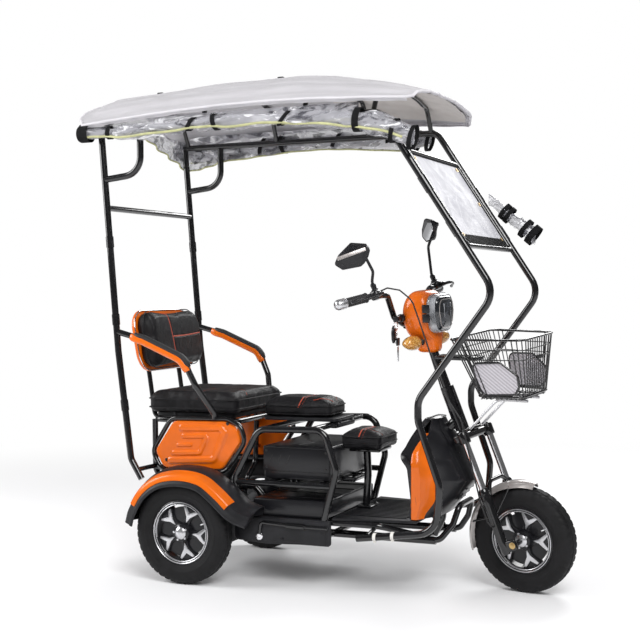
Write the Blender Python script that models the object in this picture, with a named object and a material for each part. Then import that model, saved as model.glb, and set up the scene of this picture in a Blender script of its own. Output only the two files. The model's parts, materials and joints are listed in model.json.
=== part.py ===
"""Electric tricycle: steel tube frame, three seats, wire basket and a full-length canopy.

Metres, x forward, y to the left, z up. Places are measured from the ground under the rear axle;
one empty, the vehicle, carries everything and centres the tricycle over the world origin.
"""
from math import asin, atan2, cos, pi, radians, sin, sqrt, tan

import bmesh
import bpy
from mathutils import Matrix, Vector

# Wheels and steering
TRACK = 0.670
TYRE_RADIUS = 0.1875
TYRE_WIDTH = 0.080
RIM_RADIUS = 0.118
RIM_WIDTH = 0.056
RIM_WALL = 0.007
HUB_RADIUS = 0.034
HUB_WIDTH = 0.064
AXLE_RADIUS = 0.010
SPOKES = 5
WHEEL_SEGMENTS = 24
RAKE = radians(21.0)
PARKED_TURN = radians(-12.8)
COLUMN_X = 0.900
COLUMN_Z = 0.700
AXLE_LEAD = 0.0826
CABLE_RADIUS = 0.003
CLEARANCE = 0.0003
BORE_CLEARANCE = 0.0006

# Frame
RAIL_RADIUS = 0.014
RAIL_SPACING = 0.240
RAIL_Z = 0.178
RAIL_REAR_Z = 0.290
CROSS_RADIUS = 0.011
SLIM_TUBE_RADIUS = 0.0129
SLIM_FLAT = cos(pi / 6)
DECK_HALF_WIDTH = 0.235
SIDE_RAIL_Z = 0.238
HEAD_TUBE_RADIUS = 0.025
HEAD_TUBE_LENGTH = 0.150
DOWN_TUBE_RADIUS = 0.019
SEAT_FRAME_HALF_WIDTH = 0.190
SEAT_FRAME_REAR = -0.205
SEAT_FRAME_FRONT = 0.140
SEAT_FRAME_Z = 0.578
GUARD_REACH = 0.028
GUARD_RADIUS = 0.009

# Rear axle and motor
AXLE_TUBE_RADIUS = 0.022
MOTOR_RADIUS = 0.100
MOTOR_WIDTH = 0.150
BRAKE_DRUM_RADIUS = 0.055
BRAKE_DRUM_WIDTH = 0.030

# Middle bay under the driver
HOOP_Y = 0.250
HOOP_RADIUS = 0.0125
HOOP_TOP_Z = 0.562
MID_RAIL_Z = 0.367
MID_RAIL_HALF_SPACING = 0.055
BATTERY_LENGTH = 0.260
BATTERY_X = 0.390
BATTERY_HALF_WIDTH = 0.205
BATTERY_HEIGHT = 0.082
TOOL_BOX_HEIGHT = 0.062

# Canopy
POST_Y = 0.316
POST_RADIUS = 0.0125
CANOPY_HALF_WIDTH = 0.373
CANOPY_REAR = -0.440
CANOPY_FRONT = 0.900
CANOPY_THICKNESS = 0.006
CANOPY_ROWS = 12
BOW_RADIUS = 0.009
ROOF_RAIL_Z = 1.665
SCREEN_HALF_WIDTH = 0.286
SCREEN_TUBE_RADIUS = 0.009
CURTAIN_RADIUS = 0.026

# Seats
SEAT_TOP_Z = 0.686
SEAT_HALF_WIDTH = 0.220
SADDLE_HALF_WIDTH = 0.110
SADDLE_PIN_X = 0.496
SADDLE_PIN_Z = 0.567
SADDLE_PIN_RADIUS = 0.006
SADDLE_LUG_Y = 0.084
CHILD_SEAT_HALF_WIDTH = 0.102

FENDER_OUTER_Y = 0.396
DECK_BOTTOM = SIDE_RAIL_Z + CROSS_RADIUS * SLIM_FLAT + CLEARANCE
DECK_HEIGHT = 0.014
DECK_TOP = DECK_BOTTOM + DECK_HEIGHT


def front_axle_drop():
    """Distance of the front axle below the column's reference point, along the column."""
    crown = TYRE_WIDTH / 2
    lean = asin(sin(PARKED_TURN) * sin(RAKE))
    axle_height = (TYRE_RADIUS - crown) * cos(lean) + crown
    lead_height = AXLE_LEAD * sin(RAKE) * cos(PARKED_TURN)
    return (COLUMN_Z + lead_height - axle_height) / cos(RAKE)


AXLE_DROP = front_axle_drop()


def front_reach():
    """How far forward the parked front tyre reaches."""
    axle_x = COLUMN_X + AXLE_LEAD * cos(RAKE) * cos(PARKED_TURN) + AXLE_DROP * sin(RAKE)
    crown = TYRE_WIDTH / 2
    return axle_x + (TYRE_RADIUS - crown) * cos(PARKED_TURN) + crown


BOX_CENTRE_X = (front_reach() + CANOPY_REAR) / 2


def clear_scene():
    for item in list(bpy.data.objects):
        bpy.data.objects.remove(item, do_unlink=True)


def material(name, colour, roughness, metallic=0.0):
    made = bpy.data.materials.new(name)
    made.use_nodes = True
    shader = made.node_tree.nodes["Principled BSDF"]
    shader.inputs["Base Color"].default_value = (*colour, 1.0)
    shader.inputs["Roughness"].default_value = roughness
    shader.inputs["Metallic"].default_value = metallic
    made.diffuse_color = (*colour, 1.0)
    return made


FINISHES = {
    # finish: colour, roughness, metallic
    "black_paint": ((0.012, 0.012, 0.013), 0.25, 0.0),
    "orange": ((0.72, 0.13, 0.01), 0.25, 0.0),
    "black_plastic": ((0.02, 0.02, 0.022), 0.5, 0.0),
    "rubber": ((0.015, 0.015, 0.015), 0.8, 0.0),
    "leather": ((0.022, 0.021, 0.023), 0.45, 0.0),
    "cloth": ((0.62, 0.60, 0.62), 0.85, 0.0),
    "clear": ((0.75, 0.77, 0.78), 0.15, 0.0),
    "chrome": ((0.7, 0.7, 0.72), 0.12, 1.0),
    "silver": ((0.45, 0.44, 0.46), 0.3, 0.8),
    "amber": ((0.75, 0.35, 0.08), 0.2, 0.0),
}


def add(name, mesh, finish, parent, location=(0, 0, 0)):
    """One named sub-part with its own material, carried by its parent."""
    thing = bpy.data.objects.new(name, mesh)
    bpy.context.collection.objects.link(thing)
    mesh.materials.clear()
    mesh.materials.append(material(name, *FINISHES[finish]))
    mesh.shade_smooth()
    mesh.set_sharp_from_angle(angle=radians(35))
    thing.parent = parent
    thing.location = location
    return thing


def empty(name, parent=None, location=(0, 0, 0), rotation=(0, 0, 0)):
    thing = bpy.data.objects.new(name, None)
    bpy.context.collection.objects.link(thing)
    thing.parent = parent
    thing.location = location
    thing.rotation_euler = rotation
    return thing


def finished(work, name="shape"):
    bmesh.ops.remove_doubles(work, verts=work.verts, dist=1e-6)
    bmesh.ops.recalc_face_normals(work, faces=work.faces)
    mesh = bpy.data.meshes.new(name)
    work.to_mesh(mesh)
    work.free()
    return mesh


def bent(points, bend, closed=False, steps=2):
    """The path through the points with each corner rounded to the bend radius."""
    points = [Vector(point) for point in points]
    count = len(points)
    path = []
    for index, corner in enumerate(points):
        if not closed and index in (0, count - 1):
            path.append(corner)
            continue
        back = points[index - 1] - corner
        ahead = points[(index + 1) % count] - corner
        half_angle = back.angle(ahead) / 2
        reach = min(bend / tan(half_angle), 0.49 * back.length, 0.49 * ahead.length)
        radius = reach * tan(half_angle)
        back, ahead = back.normalized(), ahead.normalized()
        centre = corner + (back + ahead).normalized() * (radius / sin(half_angle))
        start = corner + back * reach - centre
        end = corner + ahead * reach - centre
        turn = start.angle(end)
        for step in range(steps + 1):
            share = step / steps
            near = sin((1 - share) * turn) / sin(turn)
            far = sin(share * turn) / sin(turn)
            path.append(centre + start * near + end * far)
    return path


def tube(points, radius, bend=0.05, closed=False, sides=None, steps=None):
    """A bent round tube as a closed mesh, from a bevelled curve with filled ends."""
    fineness = 2 if radius > SLIM_TUBE_RADIUS else 1
    path = bent(points, bend, closed, steps or fineness)
    if sides is None:
        sides = fineness
    curve = bpy.data.curves.new("tube", "CURVE")
    curve.dimensions = "3D"
    curve.bevel_depth = radius
    curve.bevel_resolution = sides
    curve.use_fill_caps = True
    spline = curve.splines.new("POLY")
    spline.points.add(len(path) - 1)
    for place, point in zip(spline.points, path):
        place.co = (*point, 1.0)
    spline.use_cyclic_u = closed
    return from_curve(curve)


def from_curve(curve):
    holder = bpy.data.objects.new("curve", curve)
    bpy.context.collection.objects.link(holder)
    view = bpy.context.evaluated_depsgraph_get()
    mesh = bpy.data.meshes.new_from_object(holder.evaluated_get(view))
    bpy.data.objects.remove(holder, do_unlink=True)
    work = bmesh.new()
    work.from_mesh(mesh)
    return finished(work)


def mirrored(mesh):
    """A copy of the mesh mirrored to the other side of the centre plane."""
    work = bmesh.new()
    work.from_mesh(mesh)
    bmesh.ops.transform(work, matrix=Matrix.Scale(-1, 4, (0, 1, 0)), verts=work.verts)
    bmesh.ops.reverse_faces(work, faces=work.faces)
    return finished(work)


def moved(mesh, place=(0, 0, 0), turn=0.0, axis="Y"):
    mesh.transform(Matrix.Translation(place) @ Matrix.Rotation(turn, 4, axis))
    return mesh


def add_pair(name, mesh, finish, parent):
    """A piece made for the left side, and its mirror image on the right."""
    add(f"{name}_right", mirrored(mesh), finish, parent)
    add(f"{name}_left", mesh, finish, parent)


def boolean(mesh, others, operation):
    """The mesh joined with, or cut by, the others one after another."""
    holder = bpy.data.objects.new("solid", mesh)
    bpy.context.collection.objects.link(holder)
    tools = []
    for other in others:
        tool = bpy.data.objects.new("tool", other)
        bpy.context.collection.objects.link(tool)
        tools.append(tool)
        step = holder.modifiers.new("step", "BOOLEAN")
        step.operation = operation
        step.solver = "EXACT"
        step.object = tool
    view = bpy.context.evaluated_depsgraph_get()
    result = bpy.data.meshes.new_from_object(holder.evaluated_get(view))
    for thing in [holder, *tools]:
        bpy.data.objects.remove(thing, do_unlink=True)
    work = bmesh.new()
    work.from_mesh(result)
    bmesh.ops.dissolve_degenerate(work, dist=2e-5, edges=work.edges)
    return finished(work)


def fuse(*meshes):
    return boolean(meshes[0], meshes[1:], "UNION")


def cut(mesh, *tools):
    return boolean(mesh, tools, "DIFFERENCE")


def prism(outline, low, high, plane="XZ"):
    """An outline in one plane, extruded between two places on the third axis."""
    place = {
        "XZ": lambda a, b, c: (a, c, b),
        "XY": lambda a, b, c: (a, b, c),
        "YZ": lambda a, b, c: (c, a, b),
    }[plane]
    work = bmesh.new()
    base = [work.verts.new(place(a, b, low)) for a, b in outline]
    face = work.faces.new(base)
    grown = bmesh.ops.extrude_face_region(work, geom=[face])
    far = [item for item in grown["geom"] if isinstance(item, bmesh.types.BMVert)]
    shift = Vector(place(0, 0, high)) - Vector(place(0, 0, low))
    bmesh.ops.translate(work, verts=far, vec=shift)
    return finished(work)


def rounded(outline, radius, steps=3):
    """A closed outline with its corners rounded."""
    flat = bent([(a, b, 0) for a, b in outline], radius, closed=True, steps=steps)
    return [(point.x, point.y) for point in flat]


def rectangle(half_a, half_b, centre=(0, 0)):
    corners = ((-1, -1), (1, -1), (1, 1), (-1, 1))
    return [(centre[0] + a * half_a, centre[1] + b * half_b) for a, b in corners]


def block(size, centre, soften=0.0, segments=2):
    """A box with softened edges."""
    work = bmesh.new()
    bmesh.ops.create_cube(work, size=1.0)
    bmesh.ops.scale(work, vec=size, verts=work.verts)
    if soften:
        bmesh.ops.bevel(
            work, geom=work.edges[:], offset=soften, segments=segments, profile=0.5, affect="EDGES"
        )
    bmesh.ops.translate(work, verts=work.verts, vec=centre)
    return finished(work)


def lathe(profile, segments=WHEEL_SEGMENTS, closed=True, axis="Y"):
    """A profile of (along, radius) turned about an axis."""
    work = bmesh.new()
    ring = [work.verts.new((radius, along, 0)) for along, radius in profile]
    edges = [work.edges.new(pair) for pair in zip(ring, ring[1:])]
    if closed:
        edges.append(work.edges.new((ring[-1], ring[0])))
    bmesh.ops.spin(
        work, geom=ring + edges, cent=(0, 0, 0), axis=(0, 1, 0), angle=2 * pi, steps=segments,
        use_merge=True,
    )
    mesh = finished(work)
    if axis == "Z":
        mesh.transform(Matrix.Rotation(radians(90), 4, "X"))
    if axis == "X":
        mesh.transform(Matrix.Rotation(radians(-90), 4, "Z"))
    return mesh


def turned(profile, segments=16, axis="Y"):
    """A solid of revolution whose profile starts and ends on the axis."""
    return lathe(profile, segments, closed=False, axis=axis)


def rod(radius, low, high, segments=16, axis="Y"):
    return turned([(low, 0), (low, radius), (high, radius), (high, 0)], segments, axis)


def loft(sections):
    """A closed solid through rings of equal count."""
    work = bmesh.new()
    rings = [[work.verts.new(point) for point in section] for section in sections]
    count = len(rings[0])
    for near, far in zip(rings, rings[1:]):
        for index in range(count):
            ahead = (index + 1) % count
            work.faces.new((near[index], near[ahead], far[ahead], far[index]))
    work.faces.new(rings[0])
    work.faces.new(rings[-1])
    return finished(work)


def strip(path, profile):
    """A profile of (outward, across) points swept along a path of (x, z, normal angle)."""
    sections = []
    for x, z, angle in path:
        sections.append(
            [(x + out * cos(angle), across, z + out * sin(angle)) for out, across in profile]
        )
    return loft(sections)


# Wheels


def tyre_mesh():
    crown = TYRE_WIDTH / 2
    seat = RIM_WIDTH / 2 + 0.002
    centre = TYRE_RADIUS - crown
    profile = [(-seat, RIM_RADIUS)]
    for step in range(7):
        angle = radians(-90 + 30 * step)
        profile.append((crown * sin(angle), centre + crown * cos(angle)))
    profile.append((seat, RIM_RADIUS))
    return lathe(profile)


def spoke_mesh():
    """A Y of one stem and two arms, reaching from the hub to the rim."""
    reach = RIM_RADIUS - RIM_WALL / 2
    stem, fork, arm = 0.011, 0.062, 0.007
    spread = radians(17)
    tip_a = (reach * sin(spread), reach * cos(spread))
    tip_b = (tip_a[0] - 2 * arm, tip_a[1] + 0.003)
    half = [(stem, 0.018), (stem, fork), tip_a, tip_b, (0.0, fork + 0.020)]
    outline = half[:-1] + [half[-1]] + [(-a, b) for a, b in reversed(half[:-1])]
    return prism(outline, -0.008, 0.012)


def wheel_mesh(outer_side, through=False):
    """Rim, spokes and hub in one casting, with a bore for the axle from its inner side."""
    half = RIM_WIDTH / 2
    outer = RIM_RADIUS - CLEARANCE
    inner = outer - RIM_WALL
    well = inner - 0.008
    barrel = lathe(
        [(-half, outer), (-half, inner), (0, well), (half, inner), (half, outer)]
    )
    hub_half = HUB_WIDTH / 2
    hub = turned(
        [(-hub_half, 0), (-hub_half, HUB_RADIUS), (hub_half - 0.006, HUB_RADIUS),
         (hub_half, HUB_RADIUS - 0.010), (hub_half, 0)], 14
    )
    spokes = []
    for index in range(SPOKES):
        spokes.append(moved(spoke_mesh(), turn=2 * pi * index / SPOKES))
    bore_end = 2 * hub_half if through else hub_half - 0.014
    bore = rod(AXLE_RADIUS + BORE_CLEARANCE, -2 * hub_half, bore_end, 12)
    solid = cut(fuse(hub, *spokes, barrel), bore)
    return solid if outer_side > 0 else mirrored(solid)


def wheel(name, parent, outer_side):
    add(f"{name}_tyre", tyre_mesh(), "rubber", parent)
    add(f"{name}_rim", wheel_mesh(outer_side), "black_plastic", parent)


def build_rear_wheels(vehicle):
    for name, side in (("rear_right", -1), ("rear_left", 1)):
        place = (0, side * TRACK / 2, TYRE_RADIUS)
        spin = empty(f"{name}_axis", vehicle, place)
        wheel(name, spin, side)


# Frame


def head_tube_point(along):
    """A place on the column's axis, measured along it from the reference point."""
    return Vector((COLUMN_X - along * sin(RAKE), 0, COLUMN_Z + along * cos(RAKE)))


def build_main_frame(vehicle):
    y = RAIL_SPACING / 2
    rail = tube(
        [(-0.13, y, RAIL_REAR_Z), (0.06, y, RAIL_REAR_Z), (0.17, y, RAIL_Z), (0.890, y, RAIL_Z)],
        RAIL_RADIUS, 0.04,
    )
    bumper = tube(
        [(0.860, -y, RAIL_Z), (0.905, -y, RAIL_Z + 0.004), (0.945, -0.095, 0.235), (0.964, -0.080, 0.300),
         (0.964, 0.080, 0.300), (0.945, 0.095, 0.235), (0.905, y, RAIL_Z + 0.004), (0.860, y, RAIL_Z)],
        CROSS_RADIUS, 0.03,
    )
    solids = [rail, mirrored(rail), bumper]
    for x, z, half in ((-0.10, RAIL_REAR_Z, y), (0.20, RAIL_Z, DECK_HALF_WIDTH),
                       (0.50, RAIL_Z, DECK_HALF_WIDTH), (0.84, RAIL_Z, y)):
        solids.append(tube([(x, -half, z), (x, half, z)], CROSS_RADIUS))
    deck = tube(
        [(0.16, DECK_HALF_WIDTH, SIDE_RAIL_Z), (0.72, DECK_HALF_WIDTH, SIDE_RAIL_Z),
         (0.84, y, RAIL_Z + 0.012)], CROSS_RADIUS, 0.05,
    )
    stays = []
    for x in (0.20, 0.50):
        stays.append(tube([(x, DECK_HALF_WIDTH, RAIL_Z), (x, DECK_HALF_WIDTH, SIDE_RAIL_Z)], CROSS_RADIUS))
    side = [deck, *stays]
    solids += side + [mirrored(mesh) for mesh in side]
    lower_end = head_tube_point(-HEAD_TUBE_LENGTH)
    down = tube(
        [(0.84, 0, RAIL_Z), (0.872, 0, 0.240), (0.872, 0, 0.535), lower_end + Vector((-0.012, 0, 0.042))],
        DOWN_TUBE_RADIUS, 0.05,
    )
    head = tube([lower_end, head_tube_point(0)], HEAD_TUBE_RADIUS, sides=4)
    bore = tube([head_tube_point(-HEAD_TUBE_LENGTH - 0.02), head_tube_point(0.02)], 0.0175, sides=4)
    frame = fuse(*solids, down, head)
    saddle_height = RAIL_REAR_Z - RAIL_RADIUS / 2 - (TYRE_RADIUS + AXLE_TUBE_RADIUS + CLEARANCE)
    clamps = []
    for side_y in (-y, y):
        centre = (0, side_y, RAIL_REAR_Z - RAIL_RADIUS / 2 - saddle_height / 2)
        clamps.append(block((0.050, 0.030, saddle_height), centre))
    stubs = []
    for x, start_y, start_z in ((0.700, 0.200, 0.232), (0.800, 0.150, 0.203)):
        stub = tube([(x, start_y, start_z), (x, POST_Y, foot_bar_z(x))], 0.007)
        stubs += [stub, mirrored(stub)]
    bars = front_bar(CLEARANCE)
    frame = fuse(frame, *clamps, *stubs)
    add("main_frame", cut(frame, bore, bars, mirrored(bars)), "black_paint", vehicle)


def build_rear_axle(vehicle):
    end = TRACK / 2 - HUB_WIDTH / 2 - 0.004
    drum_start = end - BRAKE_DRUM_WIDTH
    stub = TRACK / 2 + HUB_WIDTH / 2 - 0.020
    half = [
        (stub, 0), (stub, AXLE_RADIUS), (end, AXLE_RADIUS), (end, BRAKE_DRUM_RADIUS),
        (drum_start, BRAKE_DRUM_RADIUS), (drum_start, AXLE_TUBE_RADIUS),
    ]
    axle = turned([(-y, radius) for y, radius in half] + half[::-1], 12)
    add("rear_axle", moved(axle, (0, 0, TYRE_RADIUS)), "black_paint", vehicle)
    width = MOTOR_WIDTH / 2
    motor = turned(
        [(-width, 0), (-width, 0.070), (-width + 0.020, MOTOR_RADIUS), (width - 0.020, MOTOR_RADIUS),
         (width, 0.070), (width, 0)], 20
    )
    gearbox = block((0.120, 0.090, 0.110), (0.075, 0.0, 0.0), 0.015)
    tunnel = rod(AXLE_TUBE_RADIUS + BORE_CLEARANCE, -MOTOR_WIDTH, MOTOR_WIDTH, 12)
    solid = cut(fuse(motor, gearbox), tunnel)
    add("drive_unit", moved(solid, (0, 0, TYRE_RADIUS)), "black_paint", vehicle)


def build_footboard(vehicle):
    rear, front, plate, rib = 0.545, 0.845, 0.010, 0.008
    outline = rounded([(rear, -0.248), (front, -0.200), (front, 0.200), (rear, 0.248)], 0.02)
    deck = prism(outline, DECK_BOTTOM, DECK_BOTTOM + plate, "XY")
    ribs = []
    rib_rear, rib_front = rear + 0.025, front - 0.035
    for index in range(9):
        centre = ((rib_front + rib_rear) / 2, (index - 4) * 0.045, DECK_TOP - rib / 2)
        ribs.append(block((rib_front - rib_rear, 0.014, rib), centre))
    sill = block((0.026, 0.356, rib), (front - 0.014, 0, DECK_TOP - rib / 2))
    add("footboard", fuse(deck, sill, *ribs), "black_plastic", vehicle)
    skirt = prism(
        rounded([(0.165, 0.170), (0.175, 0.158), (0.300, 0.150), (0.430, 0.156), (0.545, 0.156),
                 (0.545, DECK_BOTTOM - 0.001), (0.165, DECK_BOTTOM - 0.001)], 0.008, 2),
        DECK_HALF_WIDTH + CROSS_RADIUS + CLEARANCE, 0.262,
    )
    add_pair("lower_casing", skirt, "black_plastic", vehicle)
    box = block((0.290, 0.472, TOOL_BOX_HEIGHT), (0.375, 0, DECK_BOTTOM + TOOL_BOX_HEIGHT / 2), 0.004)
    add("tool_box", box, "black_plastic", vehicle)


# Middle bay


def build_side_hoops(vehicle):
    hoop = tube(
        [(0.175, HOOP_Y, DECK_BOTTOM - 0.01), (0.165, HOOP_Y, 0.380),
         (0.262, HOOP_Y, HOOP_TOP_Z), (0.520, HOOP_Y, HOOP_TOP_Z + 0.006), (0.566, HOOP_Y, 0.425),
         (0.518, HOOP_Y, DECK_BOTTOM - 0.01)], HOOP_RADIUS, 0.05, sides=2, steps=2,
    )
    rail = tube([(0.165, HOOP_Y, MID_RAIL_Z), (0.553, HOOP_Y, MID_RAIL_Z)], CROSS_RADIUS)
    below = block((0.5, 0.1, 0.1), (0.35, HOOP_Y, DECK_BOTTOM - 0.05))
    side = cut(fuse(hoop, rail), below)
    bars = []
    for x, z in ((0.270, HOOP_TOP_Z - 0.002), (0.470, HOOP_TOP_Z + 0.004), (0.300, MID_RAIL_Z),
                 (0.500, MID_RAIL_Z)):
        bars.append(tube([(x, -HOOP_Y, z), (x, HOOP_Y, z)], CROSS_RADIUS))
    centre = []
    for y in (-MID_RAIL_HALF_SPACING, MID_RAIL_HALF_SPACING):
        centre.append(tube([(0.285, y, MID_RAIL_Z), (0.560, y, MID_RAIL_Z)], 0.009))
    centre.append(tube(
        [(0.553, -MID_RAIL_HALF_SPACING - 0.009, MID_RAIL_Z),
         (0.553, MID_RAIL_HALF_SPACING + 0.009, MID_RAIL_Z)], 0.009))
    lugs = [rod(SADDLE_PIN_RADIUS, -SADDLE_LUG_Y, SADDLE_LUG_Y, 12)]
    for y in (-SADDLE_LUG_Y, SADDLE_LUG_Y):
        lugs.append(block((0.036, 0.008, 0.016), (-0.011, y, 0.0)))
    lugs = [moved(mesh, (SADDLE_PIN_X, 0, SADDLE_PIN_Z)) for mesh in lugs]
    add("side_hoops", fuse(side, mirrored(side), *bars, *centre, *lugs), "black_paint", vehicle)


def build_battery_box(vehicle):
    bottom = MID_RAIL_Z + CROSS_RADIUS * SLIM_FLAT + CLEARANCE
    case = block(
        (BATTERY_LENGTH, 2 * BATTERY_HALF_WIDTH, BATTERY_HEIGHT + 0.040),
        (BATTERY_X, 0, bottom + BATTERY_HEIGHT / 2 + 0.020), 0.010,
    )
    add("battery_box", case, "black_plastic", vehicle)


# Rear seat frame and body


def build_seat_frame(vehicle):
    y = SEAT_FRAME_HALF_WIDTH
    rear, front = SEAT_FRAME_REAR, SEAT_FRAME_FRONT
    foot = RAIL_REAR_Z + RAIL_RADIUS + CLEARANCE
    rear_leg = tube(
        [(rear, y, SEAT_FRAME_Z), (rear, y, 0.370), (-0.10, RAIL_SPACING / 2, foot + 0.020),
         (-0.10, RAIL_SPACING / 2, foot)], CROSS_RADIUS, 0.03,
    )
    front_leg = tube(
        [(front - 0.10, y, SEAT_FRAME_Z), (0.030, y, 0.370), (0.030, RAIL_SPACING / 2, foot + 0.020),
         (0.030, RAIL_SPACING / 2, foot)], CROSS_RADIUS, 0.03,
    )
    side_bar = tube([(rear, y, 0.395), (0.030, y, 0.395)], CROSS_RADIUS)
    guard_y = y + GUARD_REACH
    grown = []
    for x, z in PANEL_OUTLINE:
        away = Vector((x, z - PANEL_CENTRE_Z)).normalized() * 0.016
        grown.append((x + away.x, guard_y, z + away.y))
    guard = tube(grown, GUARD_RADIUS, 0.045, closed=True, steps=2)
    ties = []
    for x in (-0.090, 0.080):
        ties.append(tube([(x, y, SEAT_FRAME_Z), (x, guard_y, SEAT_FRAME_Z + 0.016)], 0.006))
    post_x_low = -0.212
    stub = tube([(rear, y, 0.400), (post_x_low, POST_Y, 0.400)], 0.009)
    side = cut(fuse(rear_leg, front_leg, side_bar, guard, *ties, stub), rear_post(CLEARANCE))
    add("seat_frame", fuse(seat_loop(), side, mirrored(side)), "black_paint", vehicle)


def seat_loop(grown=0.0):
    """The tube round the passenger seat's base."""
    y, z = SEAT_FRAME_HALF_WIDTH, SEAT_FRAME_Z
    corners = [(SEAT_FRAME_REAR, -y, z), (SEAT_FRAME_FRONT, -y, z), (SEAT_FRAME_FRONT, y, z),
               (SEAT_FRAME_REAR, y, z)]
    return tube(corners, CROSS_RADIUS + grown, 0.03, closed=True, sides=1)


PANEL_CENTRE_Z = 0.500
PANEL_OUTLINE = [
    (-0.105, 0.578), (0.110, 0.582), (0.160, 0.560), (0.176, 0.510), (0.100, 0.404), (-0.150, 0.400),
    (-0.186, 0.462),
]


def build_side_panels(vehicle):
    inner = SEAT_FRAME_HALF_WIDTH + CROSS_RADIUS + 0.012
    shape = rounded(PANEL_OUTLINE, 0.028, 2)
    panel = prism(shape, inner, inner + 0.014)
    for scale, low, high in ((0.72, 0.010, 0.020), (0.44, 0.010, 0.025)):
        step = [(x * scale, PANEL_CENTRE_Z + (z - PANEL_CENTRE_Z) * scale) for x, z in shape]
        panel = fuse(panel, prism(step, inner + low, inner + high))
    for z in (0.440, 0.530):
        boss = rod(0.009, SEAT_FRAME_HALF_WIDTH + CROSS_RADIUS + CLEARANCE, inner + 0.004, 8)
        panel = fuse(panel, moved(boss, (0.034, 0, z)))
    add_pair("side_panel", panel, "orange", vehicle)


def build_rear_fenders(vehicle):
    """An arched skin over each rear wheel with an orange band on its shoulder."""
    inner, outer = HOOP_Y + HOOP_RADIUS + CLEARANCE, FENDER_OUTER_Y
    points = [
        # x, z of the arch's top line
        (-0.232, 0.205), (-0.215, 0.265), (-0.170, 0.345), (-0.095, 0.395), (0.0, 0.412),
        (0.095, 0.398), (0.165, 0.352), (0.230, 0.290), (0.285, 0.262),
    ]
    path = with_normals(points)
    wall = 0.004
    shell = [
        (0.0, inner), (0.0, outer - 0.040), (-0.012, outer - 0.012), (-0.040, outer),
        (-0.040, outer - wall), (-0.013, outer - 0.016), (-wall, outer - 0.042), (-wall, inner),
    ]
    band = [
        (-0.0009, outer - 0.0371), (-0.0117, outer - 0.0117), (-0.0231, outer - 0.0069),
        (-0.0220, outer - 0.0044), (-0.0097, outer - 0.0097), (0.0016, outer - 0.0360),
    ]
    for name, side in (("right", -1), ("left", 1)):
        mesh = strip(path, [(out, side * across) for out, across in shell])
        add(f"rear_fender_{name}", mesh, "black_plastic", vehicle)
    add_pair("fender_band", strip(path[1:-1], band), "orange", vehicle)


def with_normals(points):
    path = []
    for index, (x, z) in enumerate(points):
        before = points[max(index - 1, 0)]
        after = points[min(index + 1, len(points) - 1)]
        path.append((x, z, atan2(after[1] - before[1], after[0] - before[0]) + pi / 2))
    return path


# Seats


def build_passenger_seat(vehicle):
    pan_bottom = SEAT_FRAME_Z + CROSS_RADIUS * SLIM_FLAT + CLEARANCE
    pan_height = 0.020
    pan = block((0.330, 0.364, pan_height), (-0.045, 0, pan_bottom + pan_height / 2), 0.006)
    add("passenger_seat_pan", pan, "black_paint", vehicle)
    bottom = pan_bottom + pan_height + CLEARANCE
    height = SEAT_TOP_Z - bottom
    cushion = block((0.395, 2 * SEAT_HALF_WIDTH, height), (-0.040, 0, bottom + height / 2), 0.024)
    add("passenger_cushion", cushion, "leather", vehicle)
    lean = radians(-10)
    back = empty("backrest_place", vehicle, (-0.268, 0, 0.875), (0, lean, 0))
    outline = rounded(rectangle(0.212, 0.116), 0.070, 4)
    soft = prism(outline, 0.0, 0.058, "YZ")
    add("backrest_cushion", soften(soft, 0.014), "leather", back)
    shell = prism(rounded(rectangle(0.216, 0.120), 0.074, 4), -0.020, -CLEARANCE, "YZ")
    add("backrest_shell", shell, "orange", back)
    route = [(SEAT_FRAME_REAR, SEAT_FRAME_Z), (-0.250, SEAT_FRAME_Z), (-0.2725, 0.735), (-0.3055, 0.925)]
    posts = []
    for y in (-0.115, 0.115):
        posts.append(tube([(x, y, z) for x, z in route], 0.009, 0.03))
    bar = tube([(-0.252, -0.115, 0.600), (-0.252, 0.115, 0.600)], 0.007)
    carried = cut(fuse(*posts, bar), seat_loop(CLEARANCE))
    add("backrest_posts", carried, "black_paint", vehicle)


def soften(mesh, amount, segments=2):
    """The mesh with its sharp edges rounded."""
    work = bmesh.new()
    work.from_mesh(mesh)
    sharp = [edge for edge in work.edges if edge.calc_face_angle(0) > radians(50)]
    bmesh.ops.bevel(work, geom=sharp, offset=amount, segments=segments, profile=0.5, affect="EDGES")
    return finished(work)


POST_ROUTE = [
    # x, z
    (-0.190, 0.367), (-0.235, 0.440), (-0.285, 0.840), (-0.348, ROOF_RAIL_Z),
]


def post_x(z):
    """The rear post's centre line at a height above its bend."""
    (x_low, z_low), (x_high, z_high) = POST_ROUTE[2:]
    return x_low + (x_high - x_low) * (z - z_low) / (z_high - z_low)


ARMREST_RADIUS = 0.010
ARMREST_FOOT_Y = SEAT_FRAME_HALF_WIDTH + GUARD_REACH + GUARD_RADIUS + ARMREST_RADIUS + CLEARANCE
ARMREST_ROUTE = [
    (post_x(0.915), POST_Y, 0.915), (-0.175, POST_Y, 0.885), (-0.010, POST_Y, 0.815),
    (0.035, POST_Y - 0.010, 0.720), (0.080, ARMREST_FOOT_Y, 0.640), (0.080, ARMREST_FOOT_Y, 0.590),
]


def build_armrest_pads(vehicle):
    """The padded sleeve over each armrest tube."""
    start, turn, corner, lower = [Vector(point) for point in ARMREST_ROUTE[:4]]
    route = [start.lerp(turn, 0.55), turn, corner, corner.lerp(lower, 0.45)]
    inner = tube(ARMREST_ROUTE, ARMREST_RADIUS + CLEARANCE, 0.05)
    add_pair("armrest_pad", cut(tube(route, 0.019, 0.05), inner), "leather", vehicle)


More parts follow.
